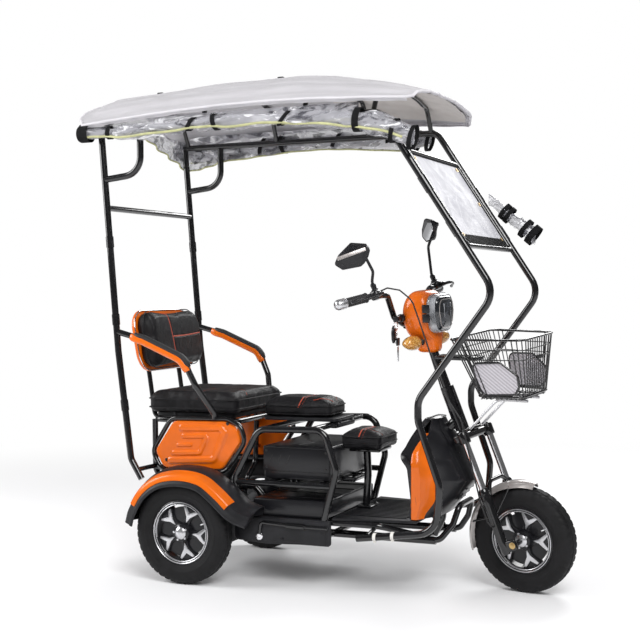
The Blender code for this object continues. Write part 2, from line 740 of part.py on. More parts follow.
def build_saddle(vehicle):
    """The driver's saddle, hinged on a pin at its front."""
    hinge = empty("saddle_hinge", vehicle, (SADDLE_PIN_X, 0, SADDLE_PIN_Z))
    pan_low, pan_high = 0.0125, 0.0265
    pan_rear, pan_front = -0.291, 0.008
    pan = block(
        (pan_front - pan_rear, 0.190, pan_high - pan_low),
        ((pan_front + pan_rear) / 2, 0, (pan_low + pan_high) / 2),
    )
    knuckle_half = SADDLE_LUG_Y - 0.004 - 2 * CLEARANCE
    knuckle = rod(0.011, -knuckle_half, knuckle_half, 12)
    web = block((0.012, 2 * knuckle_half - 0.010, 0.018), (0.0, 0, 0.013))
    bore = rod(SADDLE_PIN_RADIUS + BORE_CLEARANCE, -SADDLE_LUG_Y, SADDLE_LUG_Y, 12)
    add("saddle_pan", cut(fuse(pan, web, knuckle), bore), "black_paint", hinge)
    centre_x = 0.340 - SADDLE_PIN_X
    height = 0.060
    cushion = block(
        (0.285, 2 * SADDLE_HALF_WIDTH, height), (centre_x, 0, pan_high + CLEARANCE + height / 2), 0.022
    )
    add("saddle_cushion", cushion, "leather", hinge)


def build_child_seat(vehicle):
    """The small front seat on its post, with the lugs that carry the saddle's pin."""
    foot = DECK_TOP + CLEARANCE
    post = tube([(0.582, 0, foot + 0.003), (0.590, 0, 0.380), (0.586, 0, 0.478)], 0.014, 0.04)
    plate = block((0.120, 0.130, 0.012), (0.600, 0, 0.4775), 0.003)
    base = block((0.060, 0.090, 0.008), (0.586, 0, foot + 0.004))
    add("child_seat_post", fuse(post, plate, base), "black_paint", vehicle)
    low = 0.4835 + CLEARANCE
    cushion = block(
        (0.160, 2 * CHILD_SEAT_HALF_WIDTH, 0.066), (0.598, 0, low + 0.033), 0.018
    )
    add("child_cushion", cushion, "leather", vehicle)


# Canopy


def rear_post(grown=0.0):
    return tube([(x, POST_Y, z) for x, z in POST_ROUTE], POST_RADIUS + grown, 0.05)


def build_rear_posts(vehicle):
    """The posts with their hooks, crossbar and armrests, cut to fit under the roof rails."""
    hook = tube(
        [(post_x(1.483), POST_Y, 1.483), (-0.180, POST_Y, 1.500), (-0.180, POST_Y, ROOF_RAIL_Z)],
        POST_RADIUS, 0.07,
    )
    armrest = tube(ARMREST_ROUTE, ARMREST_RADIUS, 0.05)
    side = cut(fuse(rear_post(), hook, armrest), roof_rail(CLEARANCE))
    bar_z = 1.377
    bar = tube([(post_x(bar_z), -POST_Y, bar_z), (post_x(bar_z), POST_Y, bar_z)], CROSS_RADIUS)
    add("rear_posts", fuse(side, mirrored(side), bar), "black_paint", vehicle)


def canopy_height(x, y):
    """The sheet's outer surface: crowned across, and falling at both ends."""
    share = (x - CANOPY_REAR) / (CANOPY_FRONT - CANOPY_REAR)
    rise = sin(0.85 * pi * share)
    dip = max(0, (share - 0.62) / 0.38)
    edge = 1.685 + 0.042 * rise
    crown = 1.808 + 0.040 * rise - 0.074 * dip ** 1.6
    across = abs(y) / CANOPY_HALF_WIDTH
    return edge + (crown - edge) * (1 - across ** 2.6)


def build_canopy(vehicle):
    columns, rows = 12, CANOPY_ROWS
    work = bmesh.new()
    grid = []
    for column in range(columns + 1):
        x = CANOPY_REAR + (CANOPY_FRONT - CANOPY_REAR) * column / columns
        line = []
        for row in range(rows + 1):
            y = CANOPY_HALF_WIDTH * (2 * row / rows - 1)
            line.append(work.verts.new((x, y, canopy_height(x, y))))
        grid.append(line)
    for near, far in zip(grid, grid[1:]):
        for row in range(rows):
            work.faces.new((near[row], far[row], far[row + 1], near[row + 1]))
    sheet = add("canopy", finished(work), "cloth", vehicle)
    wall = sheet.modifiers.new("thickness", "SOLIDIFY")
    wall.thickness = CANOPY_THICKNESS
    wall.offset = -1
    wall.use_even_offset = True


def bow_route(x, drop):
    """A line under the sheet, through every second row of its grid between the roof rails."""
    route = []
    for row in range(2, CANOPY_ROWS - 1, 2):
        y = CANOPY_HALF_WIDTH * (2 * row / CANOPY_ROWS - 1)
        route.append((x, y, canopy_height(x, y) - drop))
    return route


def roof_rail(grown=0.0):
    """The left roof rail, ending square against the top of the front bar."""
    (x_high, z_high), (x_low, z_low) = FRONT_BAR_ROUTE[:2]
    along = Vector((x_low - x_high, 0, z_low - z_high)).normalized()
    end = Vector((x_high, POST_Y, z_high)) - along * CLEARANCE
    corner = end - along * ((ROOF_RAIL_Z - end.z) / -along.z)
    return tube([(-0.400, POST_Y, ROOF_RAIL_Z), corner, end], POST_RADIUS + grown, 0.02)


def build_roof_frame(vehicle):
    solids = [roof_rail(), mirrored(roof_rail())]
    for x in (-0.330, 0.080, 0.480, 0.740):
        crown = bow_route(x, CANOPY_THICKNESS + BOW_RADIUS + 0.0013)
        bow = [(x, -POST_Y, ROOF_RAIL_Z), *crown, (x, POST_Y, ROOF_RAIL_Z)]
        solids.append(tube(bow, BOW_RADIUS, 0.03, steps=1))
    add("roof_frame", fuse(*solids), "black_paint", vehicle)


FRONT_BAR_ROUTE = [
    # x, z
    (0.7925, 1.6215), (1.162, 1.050), (0.893, 0.690), (0.893, 0.620), (0.968, 0.400), (0.955, 0.245), (0.668, 0.207),
]


def foot_bar_z(x):
    """The front bar's centre height along its lowest run."""
    (x_front, z_front), (x_rear, z_rear) = FRONT_BAR_ROUTE[-2:]
    return z_rear + (z_front - z_rear) * (x - x_rear) / (x_front - x_rear)


def front_bar(grown=0.0):
    """The left front bar's tube, or a slightly larger one to cut its neighbours with."""
    return tube([(x, POST_Y, z) for x, z in FRONT_BAR_ROUTE], POST_RADIUS + grown, 0.08, steps=3)


def build_front_bars(vehicle):
    bar = front_bar()
    add("front_frame", fuse(bar, mirrored(bar), *screen_loop()), "black_paint", vehicle)


SCREEN_TOP = Vector((0.846, 0, 1.536))
SCREEN_BOTTOM = Vector((1.058, 0, 1.208))


def screen_loop():
    """The tube round the windscreen, with the lugs that hold it between the front bars."""
    top, bottom = SCREEN_TOP, SCREEN_BOTTOM
    y = SCREEN_HALF_WIDTH
    side = Vector((0, 1, 0))
    corners = [top - side * y, top + side * y, bottom + side * y, bottom - side * y]
    loop = tube(corners, SCREEN_TUBE_RADIUS, 0.02, closed=True, steps=2)
    lugs = []
    for share in (0.06, 0.94):
        place = top.lerp(bottom, share)
        lugs.append(tube([place - side * POST_Y, place - side * (y - 0.004)], 0.007))
        lugs.append(tube([place + side * (y - 0.004), place + side * POST_Y], 0.007))
    return [loop, *lugs]


def build_windscreen(vehicle):
    top, bottom = SCREEN_TOP, SCREEN_BOTTOM
    y = SCREEN_HALF_WIDTH
    side = Vector((0, 1, 0))
    along = (bottom - top).normalized()
    inset = SCREEN_TUBE_RADIUS + CLEARANCE
    high, low = top + along * inset, bottom - along * inset
    half = y - inset
    normal = Vector((along.z, 0, -along.x)) * -0.001
    ring = bent([high - side * half, high + side * half, low + side * half, low - side * half],
                0.02 - inset, closed=True)
    add("windscreen", loft([[p + normal for p in ring], [p - normal for p in ring]]), "clear", vehicle)


def build_curtains(vehicle):
    y, z = POST_Y + POST_RADIUS + CURTAIN_RADIUS + CLEARANCE, 1.629
    roll = tube(
        [(-0.400, y, z + 0.020), (-0.20, y, z - 0.006), (0.10, y, z + 0.010), (0.40, y, z), (0.72, y, z + 0.012)],
        CURTAIN_RADIUS, 0.3,
    )
    add_pair("curtain_roll", roll, "clear", vehicle)


# Leg shield


def shield_size(z):
    """Rear plane, half width and nose of the leg shield at a height."""
    share = (z - 0.262) / (0.605 - 0.262)
    rear = 0.832 - 0.040 * share
    half = 0.200 if share < 0.55 else 0.200 - 0.105 * ((share - 0.55) / 0.45) ** 1.4
    nose = min(0.905 + 0.85 * (z - 0.262), 1.000 - 0.46 * (z - 0.377))
    return rear, half, nose


def build_leg_shield(vehicle):
    heights = [DECK_TOP + CLEARANCE, 0.310, 0.370, 0.430, 0.490, 0.545]
    back, band, cover = [], [], []
    for z in heights:
        rear, half, nose = shield_size(z)
        back.append([(rear - 0.008, -half, z), (rear + 0.010, -half, z), (rear + 0.006, 0, z),
                     (rear + 0.010, half, z), (rear - 0.008, half, z), (rear - 0.012, 0, z)])
        joint_x, joint_y = rear + 0.062, 0.64 * half
        start = rear + 0.0104
        band.append(half_wall([(start, half - 0.004), (start + 0.030, half - 0.020), (joint_x, joint_y)], 0.005, z))
        cover.append(half_wall(
            [(joint_x + 0.0006, joint_y), (joint_x + 0.4 * (nose - joint_x), 0.86 * joint_y),
             (nose - 0.012, 0.42 * joint_y), (nose, 0.0)], 0.005, z, closed=True))
    rear, half, nose = shield_size(0.605)
    back.append([(rear - 0.008, -half, 0.605), (rear + 0.010, -half, 0.605), (rear + 0.006, 0, 0.605),
                 (rear + 0.010, half, 0.605), (rear - 0.008, half, 0.605), (rear - 0.012, 0, 0.605)])
    add("leg_shield", loft(back), "black_plastic", vehicle)
    add_pair("shield_band", loft(band), "orange", vehicle)
    add("front_cover", loft(cover), "black_plastic", vehicle)


def half_wall(points, wall, z, closed=False):
    """A thin wall in plan along the points; closed mirrors it into one nose-shaped wall."""
    inner = [(x - wall * 0.8, max(y - wall, 0.0)) for x, y in points]
    inner[0] = (points[0][0], points[0][1] - wall)
    if closed:
        inner[-1] = (points[-1][0] - wall, 0.0)
        outer_line = points + [(x, -y) for x, y in reversed(points[:-1])]
        inner_line = inner + [(x, -y) for x, y in reversed(inner[:-1])]
        return [(x, y, z) for x, y in outer_line + list(reversed(inner_line))]
    return [(x, y, z) for x, y in points + list(reversed(inner))]


# Steering assembly, in the column's own frame: x ahead of the axis, z up along it

FORK_HALF = 0.090
LEG_LEAD = 0.046
LEG_RADIUS = 0.018
STANCHION_RADIUS = 0.0125
CLAMP_Z = -0.176
LAMP_RADIUS = 0.060
LAMP_Z = 0.030
LAMP_PLACE = (0.010, 0, 0.262)
STAY_RADIUS = 0.005
LEG_TOP = -0.370


def build_column(steering):
    head_gap = 0.002
    stem = tube([(0, 0, CLAMP_Z + 0.004), (0, 0, 0.300)], 0.0165, sides=4)
    race_low = rod(0.024, -HEAD_TUBE_LENGTH - 0.020, -HEAD_TUBE_LENGTH - head_gap, 14, "Z")
    race_high = rod(0.024, head_gap, 0.014, 14, "Z")
    crown = block((0.084, 2 * FORK_HALF + 0.044, 0.030), (0.026, 0, CLAMP_Z), 0.008)
    solids = [stem, race_low, race_high, crown]
    for y in (-FORK_HALF, FORK_HALF):
        solids.append(tube([(LEG_LEAD, y, CLAMP_Z + 0.020), (LEG_LEAD, y, LEG_TOP - 0.030)], STANCHION_RADIUS))
    arm = moved(block((0.170, 0.060, 0.014), (0.050, 0, 0.120)), turn=RAKE)
    grown = moved(basket_shape(-CLEARANCE), turn=RAKE)
    add("steering_column", cut(fuse(*solids, arm), grown), "chrome", steering)


def build_fork_legs(steering):
    legs = []
    for y in (-FORK_HALF, FORK_HALF):
        leg = tube([(LEG_LEAD, y, LEG_TOP), (LEG_LEAD, y, -AXLE_DROP - 0.020)], LEG_RADIUS, sides=3)
        lug = block((AXLE_LEAD - LEG_LEAD + 0.016, 0.012, 0.040),
                    ((AXLE_LEAD + LEG_LEAD) / 2, y - 0.012 * (1 if y > 0 else -1), -AXLE_DROP), 0.004)
        socket = tube([(LEG_LEAD, y, LEG_TOP + 0.020), (LEG_LEAD, y, LEG_TOP - 0.031)],
                      STANCHION_RADIUS + CLEARANCE)
        legs.append(cut(fuse(leg, lug), socket))
    axle = moved(rod(AXLE_RADIUS, -FORK_HALF - 0.004, FORK_HALF + 0.004), (AXLE_LEAD, 0, -AXLE_DROP))
    add("fork_legs", fuse(legs[0], legs[1], axle), "black_paint", steering)


def build_front_fender(steering):
    radius, half, wall = TYRE_RADIUS + 0.016, 0.047, 0.003
    path = []
    for step in range(11):
        angle = radians(76 + (196 - 76) * step / 10) - RAKE
        path.append((AXLE_LEAD + radius * cos(angle), -AXLE_DROP + radius * sin(angle), angle))
    profile = [(-0.012, -half), (0.0, -half + 0.004), (0.007, 0), (0.0, half - 0.004), (-0.012, half),
               (-0.012, half - wall), (-wall, half - 0.008), (0.007 - wall, 0), (-wall, -half + 0.008),
               (-0.012, -half + wall)]
    skin = strip(path, profile)
    stay_z = -AXLE_DROP + sqrt(radius ** 2 - (AXLE_LEAD - LEG_LEAD) ** 2) - 0.007
    reach = FORK_HALF - LEG_RADIUS * cos(pi / 10) - CLEARANCE
    stays = []
    for side in (-1, 1):
        ends = [(LEG_LEAD, side * reach, stay_z), (LEG_LEAD, side * (half - 0.006), stay_z)]
        stays.append(tube(ends, 0.005))
    add("front_fender", fuse(skin, *stays), "silver", steering)


def build_handlebar(steering):
    half = [(-0.062, 0.030, 0.280), (-0.058, 0.080, 0.310), (-0.010, 0.150, 0.385), (-0.022, 0.228, 0.392),
            (-0.090, 0.356, 0.395)]
    bar = tube([(x, -y, z) for x, y, z in reversed(half)] + half, 0.011, 0.03, sides=2)
    bracket = block((0.0347, 0.030, 0.024), (0.01735, 0, LAMP_Z))
    stem_clamp = block((0.105, 0.050, 0.040), (-0.0225, 0, 0.282), 0.006)
    socket = tube([(0, 0, 0.2), (0, 0, 0.31)], 0.0165 + CLEARANCE, sides=4)
    levers = []
    for side in (-1, 1):
        levers.append(tube(
            [(-0.018, side * 0.222, 0.390), (0.030, side * 0.235, 0.386), (0.010, side * 0.290, 0.384),
             (-0.030, side * 0.350, 0.384)], 0.005, 0.02))
        levers.append(moved(block((0.034, 0.036, 0.034), (0, 0, 0), 0.006), (-0.014, side * 0.212, 0.392)))
    bracket = moved(bracket, LAMP_PLACE, RAKE)
    add("handlebar", cut(fuse(bar, stem_clamp, bracket, *levers), socket), "black_paint", steering)
    grips = []
    along = Vector((-0.068, 0.128, 0.003)).normalized()
    start = Vector((-0.022, 0.228, 0.392)) + along * 0.022
    for side in (-1, 1):
        first = Vector((start.x, side * start.y, start.z))
        last = first + Vector((along.x, side * along.y, along.z)) * 0.116
        sleeve = tube([first, last], 0.016)
        core_end = last + Vector((along.x, side * along.y, along.z)) * 0.02
        core_start = first - Vector((along.x, side * along.y, along.z)) * 0.02
        core = tube([core_start, core_end], 0.0114, sides=2)
        grips.append(cut(sleeve, core))
    add("grip_right", grips[0], "rubber", steering)
    add("grip_left", grips[1], "rubber", steering)


def build_brake_cable(steering):
    """The front brake's cable, from the right lever's block down to the fork's lower leg."""
    block_face = 0.003 + CLEARANCE
    leg_face = FORK_HALF + LEG_RADIUS + CLEARANCE
    route = [
        (block_face, -0.200, 0.400), (0.060, -0.200, 0.400), (0.085, -0.160, 0.330), (0.075, -0.150, 0.180),
        (0.060, -0.140, 0.000), (0.088, -0.135, -0.120), (0.070, -0.142, -0.260), (0.050, -0.142, -0.400),
        (LEG_LEAD, -0.138, -0.490), (LEG_LEAD, -leg_face, -0.500),
    ]
    add("brake_cable", tube(route, CABLE_RADIUS, 0.040), "rubber", steering)


def build_headlamp(steering):
    """Cowl, lamp and turn signals, level when the column leans back."""
    level = empty("lamp_place", steering, LAMP_PLACE, (0, RAKE, 0))
    rows = (
        # z, back, ahead, half width
        (-0.112, -0.022, 0.061, 0.040), (-0.060, -0.036, 0.060, 0.046), (-0.030, -0.062, 0.058, 0.070),
        (0.030, -0.072, 0.058, 0.082), (0.080, -0.060, 0.050, 0.074), (0.112, -0.030, 0.022, 0.044),
    )
    wall = 0.004
    outer, inner = [], []
    for index, (z, back, ahead, half) in enumerate(rows):
        ring = rounded([(back, -half), (ahead, -half), (ahead, half), (back, half)], 0.45 * half, 3)
        outer.append([(x, y, z) for x, y in ring])
        depth = z + {0: -0.020, 5: -wall}.get(index, 0.0)
        half, ahead = half - wall, ahead - wall
        ring = rounded([(back - 0.05, -half), (ahead, -half), (ahead, half), (back - 0.05, half)], 0.42 * half, 3)
        inner.append([(x, y, depth) for x, y in ring])
    socket = moved(rod(LAMP_RADIUS + CLEARANCE, 0.030, 0.100, 20, "X"), (0, 0, LAMP_Z))
    add("headlamp_cowl", cut(loft(outer), loft(inner), socket), "orange", level)
    lamp = turned(
        [(0.035, 0), (0.035, LAMP_RADIUS), (0.062, LAMP_RADIUS), (0.070, LAMP_RADIUS + 0.010),
         (0.084, LAMP_RADIUS + 0.006), (0.088, 0.050), (0.094, 0.0)], 20, "X")
    add("headlamp", moved(lamp, (0, 0, LAMP_Z)), "chrome", level)
    for name, side in (("right", -1), ("left", 1)):
        stalk = tube([(0.010, side * 0.0462, -0.070), (0.010, side * 0.085, -0.070)], 0.006)
        body = turned([(0.070, 0), (0.074, 0.018), (0.100, 0.022), (0.122, 0.013), (0.128, 0)], 14, "Y")
        body = body if side > 0 else mirrored(body)
        signal = fuse(stalk, moved(body, (0.006, 0, -0.068)))
        add(f"turn_signal_{name}", signal, "amber", level)


def build_mirrors(steering):
    for name, side, lift in (("right", -1, 0.541), ("left", 1, 0.610)):
        stalk = tube(
            [(-0.014, side * 0.208, 0.4093), (-0.014, side * 0.208, 0.440), (0.010, side * 0.215, lift - 0.070),
             (0.032, side * 0.266, lift - 0.012)], 0.005, 0.03)
        head = turned([(-0.012, 0), (-0.012, 0.050), (0.0, 0.060), (0.012, 0.048), (0.018, 0.020), (0.019, 0)],
                      12, "X")
        head.transform(Matrix.Diagonal((1, 1.12, 0.76, 1)))
        head = moved(head, (0.0, side * 0.294, lift), side * radians(54), "Z")
        add(f"mirror_{name}", fuse(head, stalk), "black_plastic", steering)


BASKET = {
    # level, x of rear, x of front, half width at rear, half width at front
    "rim": (0.905, 0.997, 1.262, 0.165, 0.125),
    "floor": (0.690, 1.085, 1.245, 0.122, 0.098),
}


def basket_shape(inset, floor_lift=0.0, rim_lift=0.0):
    """The basket's outside, or a smaller or larger shape of the same form, level with the ground."""
    rings = []
    for row, lift in ((BASKET["floor"], floor_lift), (BASKET["rim"], rim_lift)):
        z, rear, front, half_rear, half_front = row
        corners = [(rear + inset, -half_rear + inset), (front - inset, -half_front + inset),
                   (front - inset, half_front - inset), (rear + inset, half_rear - inset)]
        outline = rounded([(x - COLUMN_X, y) for x, y in corners], 0.030, 2)
        rings.append([(x, y, z + lift - COLUMN_Z) for x, y in outline])
    return loft(rings)


def build_basket(steering):
    level = empty("basket_place", steering, (0, 0, 0), (0, RAKE, 0))
    wall = 0.004
    basket = cut(basket_shape(0.0), basket_shape(wall, wall, 0.010))
    add("basket", basket, "black_paint", level)
    under = BASKET["floor"][0] - COLUMN_Z - STAY_RADIUS - CLEARANCE
    rods = []
    for y in (-0.045, 0.045):
        rods.append(tube([(0.110, y, -0.125), (0.220, y, under), (0.335, y, under)], STAY_RADIUS, 0.05))
    rods.append(tube([(0.300, -0.045, under), (0.300, 0.045, under)], STAY_RADIUS))
    add("basket_stay", fuse(*rods), "chrome", level)


def build_steering(vehicle):
    pivot = empty("steering_column_foot", vehicle, (COLUMN_X, 0, COLUMN_Z), (0, -RAKE, 0))
    steering = empty("steering_axis", pivot, rotation=(0, 0, PARKED_TURN))
    build_column(steering)
    build_fork_legs(steering)
    build_front_fender(steering)
    build_handlebar(steering)
    build_brake_cable(steering)
    build_headlamp(steering)
    build_mirrors(steering)
    build_basket(steering)
    spin = empty("front_wheel_axis", steering, (AXLE_LEAD, 0, -AXLE_DROP))
    add("front_tyre", tyre_mesh(), "rubber", spin)
    add("front_rim", wheel_mesh(1, through=True), "black_plastic", spin)


def build_vehicle():
    clear_scene()
    vehicle = empty("vehicle", location=(-BOX_CENTRE_X, 0, 0))
    build_rear_wheels(vehicle)
    build_main_frame(vehicle)
    build_rear_axle(vehicle)
    build_footboard(vehicle)
    build_side_hoops(vehicle)
    build_battery_box(vehicle)
    build_seat_frame(vehicle)
    build_side_panels(vehicle)
    build_rear_fenders(vehicle)
    build_passenger_seat(vehicle)
    build_armrest_pads(vehicle)
    build_saddle(vehicle)
    build_child_seat(vehicle)
    build_rear_posts(vehicle)
    build_canopy(vehicle)
    build_roof_frame(vehicle)
    build_front_bars(vehicle)
    build_windscreen(vehicle)
    build_curtains(vehicle)
    build_leg_shield(vehicle)
    build_steering(vehicle)


build_vehicle()
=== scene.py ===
"""Electric tricycle with a canopy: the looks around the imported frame.

Metres, x ahead, y to the left, z up. Routes and outlines are written from the rear axle's middle
on the ground, and at() puts them in the frame's own place. Pieces of the steering are written in
the column's frame: x ahead of the column, y left, z up along it.
"""
import json
from math import atan2, cos, hypot, pi, radians, sin

import bpy
from bpy.props import FloatProperty, FloatVectorProperty, IntProperty
from mathutils import Matrix, Vector, noise
from mathutils.kdtree import KDTree


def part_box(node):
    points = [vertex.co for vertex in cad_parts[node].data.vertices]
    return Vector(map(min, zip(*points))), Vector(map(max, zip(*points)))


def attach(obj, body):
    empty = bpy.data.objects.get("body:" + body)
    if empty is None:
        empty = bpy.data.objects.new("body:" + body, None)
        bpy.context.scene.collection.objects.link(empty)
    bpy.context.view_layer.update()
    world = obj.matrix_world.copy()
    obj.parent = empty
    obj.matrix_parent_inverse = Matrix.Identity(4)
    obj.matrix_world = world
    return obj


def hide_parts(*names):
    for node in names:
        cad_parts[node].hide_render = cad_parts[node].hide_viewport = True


bl_info = {
    "name": "Electric tricycle",
    "version": (1, 0, 0),
    "blender": (4, 5, 0),
    "location": "View3D > Sidebar > Tricycle",
    "description": "Builds the visible pieces of the electric tricycle around its frame",
    "category": "Object",
}

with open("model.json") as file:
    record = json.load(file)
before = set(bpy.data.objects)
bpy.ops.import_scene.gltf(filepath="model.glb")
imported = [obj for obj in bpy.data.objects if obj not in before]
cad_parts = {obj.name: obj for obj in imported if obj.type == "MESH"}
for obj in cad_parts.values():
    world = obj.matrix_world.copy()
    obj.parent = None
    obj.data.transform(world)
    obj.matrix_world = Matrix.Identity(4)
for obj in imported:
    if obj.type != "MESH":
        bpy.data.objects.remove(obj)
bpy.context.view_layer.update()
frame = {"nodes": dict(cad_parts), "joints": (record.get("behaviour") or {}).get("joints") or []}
JOINTS = {joint["name"]: joint for joint in frame["joints"]}

# The column's lean, and how far the front wheel stands turned
RAKE = radians(21.0)
PARKED_TURN = radians(-12.8)

# The vehicle's own places, from the frame
REAR_AXLE_X = (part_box("rear_axle")[0].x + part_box("rear_axle")[1].x) / 2
COLUMN_FOOT = Vector(JOINTS["steering_turn"]["pos_m"])
TURNED = Matrix.Rotation(-RAKE, 4, "Y") @ Matrix.Rotation(PARKED_TURN, 4, "Z")
STEERING = Matrix.Translation(COLUMN_FOOT) @ TURNED
LEVEL = STEERING @ Matrix.Rotation(RAKE, 4, "Y")
LAMP = STEERING @ Matrix.Translation((0.010, 0, 0.262)) @ Matrix.Rotation(RAKE, 4, "Y")
FRONT_AXLE = STEERING.inverted() @ Vector(JOINTS["front_wheel_spin"]["pos_m"])
HINGE = Vector(JOINTS["saddle_tip"]["pos_m"])

# Sizes that several pieces share
TRACK = 0.670
TYRE_RADIUS = 0.1875
TYRE_WIDTH = 0.080
RIM_RADIUS = 0.118
POST_Y = 0.316
POST_RADIUS = 0.0125
CROSS_RADIUS = 0.011
HOOP_Y = 0.250
RAIL_Z = 0.178
RAIL_REAR_Z = 0.290
RAIL_HALF = 0.120
DECK_HALF = 0.235
SIDE_RAIL_Z = 0.238
SEAT_FRAME_Z = 0.578
SEAT_FRAME_HALF = 0.190
ROOF_RAIL_Z = 1.665
FORK_HALF = 0.090
LEG_LEAD = 0.046
CANOPY_HALF = 0.373
CANOPY_REAR = -0.440
CANOPY_FRONT = 0.900
BOWS = (-0.330, 0.080, 0.480, 0.740)
SPOKES = 5

# Bent lines as corners (x, z), and the windscreen's frame
REAR_POST = ((-0.190, 0.367), (-0.235, 0.440), (-0.285, 0.840), (-0.348, 1.665))
FRONT_BAR = (
    (0.7925, 1.6215), (1.162, 1.050), (0.893, 0.690), (0.893, 0.620), (0.968, 0.400), (0.955, 0.245),
    (0.668, 0.207),
)
SCREEN_TOP = Vector((0.846, 0, 1.536))
SCREEN_FOOT = Vector((1.058, 0, 1.208))
SCREEN_HALF = 0.286
SCREEN_REACH = 0.98
FILM_HALF = 0.2767
SCREEN_OUT = Vector((0.84, 0, 0.54))


def at(x, y, z):
    return Vector((x + REAR_AXLE_X, y, z))


# Curves and numbers


def mix(a, b, share):
    return a + (b - a) * share


def clamp(value, low=0.0, high=1.0):
    return max(low, min(high, value))


def smooth(value, low, high):
    share = clamp((value - low) / (high - low))
    return share * share * (3 - 2 * share)


def larger(centre, scale):
    """A matrix that enlarges about a place."""
    return Matrix.Translation(centre) @ Matrix.Scale(scale, 4) @ Matrix.Translation(-centre)


def turns(count):
    """Angles spread evenly over one turn."""
    return [2 * pi * step / count for step in range(count)]


def bump(value, centre, width):
    """One soft ridge, 1 at its centre and 0 beyond its width."""
    share = abs(value - centre) / width
    return 0.0 if share >= 1 else 0.5 + 0.5 * cos(pi * share)


def bent(points, bend, closed=False, steps=7):
    """The path through the points with each corner rounded."""
    points = [Vector(point) for point in points]
    count = len(points)
    path = []
    for index, corner in enumerate(points):
        if not closed and index in (0, count - 1):
            path.append(corner)
            continue
        back = points[index - 1] - corner
        ahead = points[(index + 1) % count] - corner
        half = back.angle(ahead) / 2
        if half > radians(89.5) or bend <= 0:
            path.append(corner)
            continue
        tangent = sin(half) / cos(half)
        reach = min(bend / tangent, 0.49 * back.length, 0.49 * ahead.length)
        radius = reach * tangent
        centre = corner + (back.normalized() + ahead.normalized()).normalized() * (radius / sin(half))
        start = corner + back.normalized() * reach - centre
        end = corner + ahead.normalized() * reach - centre
        path += [centre + start.slerp(end, step / steps).normalized() * radius for step in range(steps + 1)]
    return path


def flowing(points, steps=6, closed=False):
    """A smooth line through the points."""
    points = [Vector(point) for point in points]
    count = len(points)
    path = []
    for index in range(count if closed else count - 1):
        if closed:
            a, b, c, d = (points[(index + shift) % count] for shift in (-1, 0, 1, 2))
        else:
            b, c = points[index], points[index + 1]
            a = points[index - 1] if index else b * 2 - c
            d = points[index + 2] if index + 2 < count else c * 2 - b
        for step in range(steps):
            t = step / steps
            path.append(0.5 * (2 * b + (c - a) * t + (2 * a - 5 * b + 4 * c - d) * t * t
                               + (3 * b - a - 3 * c + d) * t ** 3))
    if not closed:
        path.append(points[-1])
    return path


def along(path, share):
    """A place at a share of the way through the points of a path, by point count."""
    place = clamp(share) * (len(path) - 1)
    index = min(int(place), len(path) - 2)
    return path[index].lerp(path[index + 1], place - index)


def flat_outline(outline, radius, steps=5):
    return [(p.x, p.y) for p in bent([(a, b, 0) for a, b in outline], radius, True, steps)]


def other_side(points):
    return [Vector((point[0], -point[1], point[2])) for point in points]


# Modelling


def deselect():
    bpy.ops.object.select_all(action="DESELECT")


def choose(thing):
    deselect()
    thing.select_set(True)
    bpy.context.view_layer.objects.active = thing
    return thing


def fresh(name):
    """The primitive that was just added, named."""
    thing = bpy.context.object
    thing.name = name
    thing.data.name = name
    return thing


def edit(thing, *steps):
    """Run edit-mode steps on the whole mesh."""
    choose(thing)
    bpy.ops.object.mode_set(mode="EDIT")
    bpy.ops.mesh.select_all(action="SELECT")
    for step in steps:
        step()
    bpy.ops.object.mode_set(mode="OBJECT")
    return thing


def merged(thing, distance=1e-5):
    return edit(
        thing,
        lambda: bpy.ops.mesh.remove_doubles(threshold=distance),
        lambda: bpy.ops.mesh.normals_make_consistent(inside=False),
    )


def tubes(name, routes, sides=8):
    """Round bars along (points, radius[, closed]) routes, as one mesh."""
    deselect()
    bpy.ops.curve.primitive_bezier_curve_add()
    thing = fresh(name)
    curve = thing.data
    curve.splines.clear()
    curve.bevel_depth = 1.0
    curve.bevel_resolution = sides - 2 if sides > 2 else 0
    curve.use_fill_caps = True
    for route in routes:
        points, radius = route[0], route[1]
        spline = curve.splines.new("POLY")
        spline.points.add(len(points) - 1)
        radii = radius if isinstance(radius, (list, tuple)) else [radius] * len(points)
        for slot, point, size in zip(spline.points, points, radii):
            slot.co = (*point, 1.0)
            slot.radius = size
        spline.use_cyclic_u = len(route) > 2 and route[2]
    choose(thing)
    bpy.ops.object.convert(target="MESH")
    return merged(bpy.context.object, 1e-6)


def wrapped(name, across, down, surface, close_across=False, thickness=0.0, weld=True):
    """A grid whose points (u, v) from 0 to 1 are laid on a surface."""
    deselect()
    bpy.ops.mesh.primitive_grid_add(x_subdivisions=across, y_subdivisions=down, size=2)
    thing = fresh(name)
    for vertex in thing.data.vertices:
        u, v = (vertex.co.x + 1) / 2, (vertex.co.y + 1) / 2
        vertex.co = surface(0.0 if close_across and u > 1 - 1e-6 else u, v)
    if weld:
        merged(thing)
    if thickness:
        wall = thing.modifiers.new("wall", "SOLIDIFY")
        wall.thickness = abs(thickness)
        wall.offset = -1 if thickness > 0 else 1
        applied(thing)
    return thing


def turned(name, profile, segments=48, axis="Y", closed=False):
    """A profile of (along, radius) turned about an axis; closed joins its ends."""
    profile = list(profile) + ([profile[0]] if closed else [])
    rows = len(profile) - 1

    def surface(u, v):
        index = min(int(v * rows + 1e-4), rows - 1)
        a, b = Vector(profile[index]), Vector(profile[index + 1])
        place = a.lerp(b, clamp(v * rows - index))
        angle = 2 * pi * u
        ring = (place.y * cos(angle), place.y * sin(angle))
        return {
            "X": (place.x, ring[0], ring[1]),
            "Y": (ring[0], place.x, -ring[1]),
            "Z": (ring[0], ring[1], place.x),
        }[axis]

    return wrapped(name, segments, rows, surface, close_across=True)


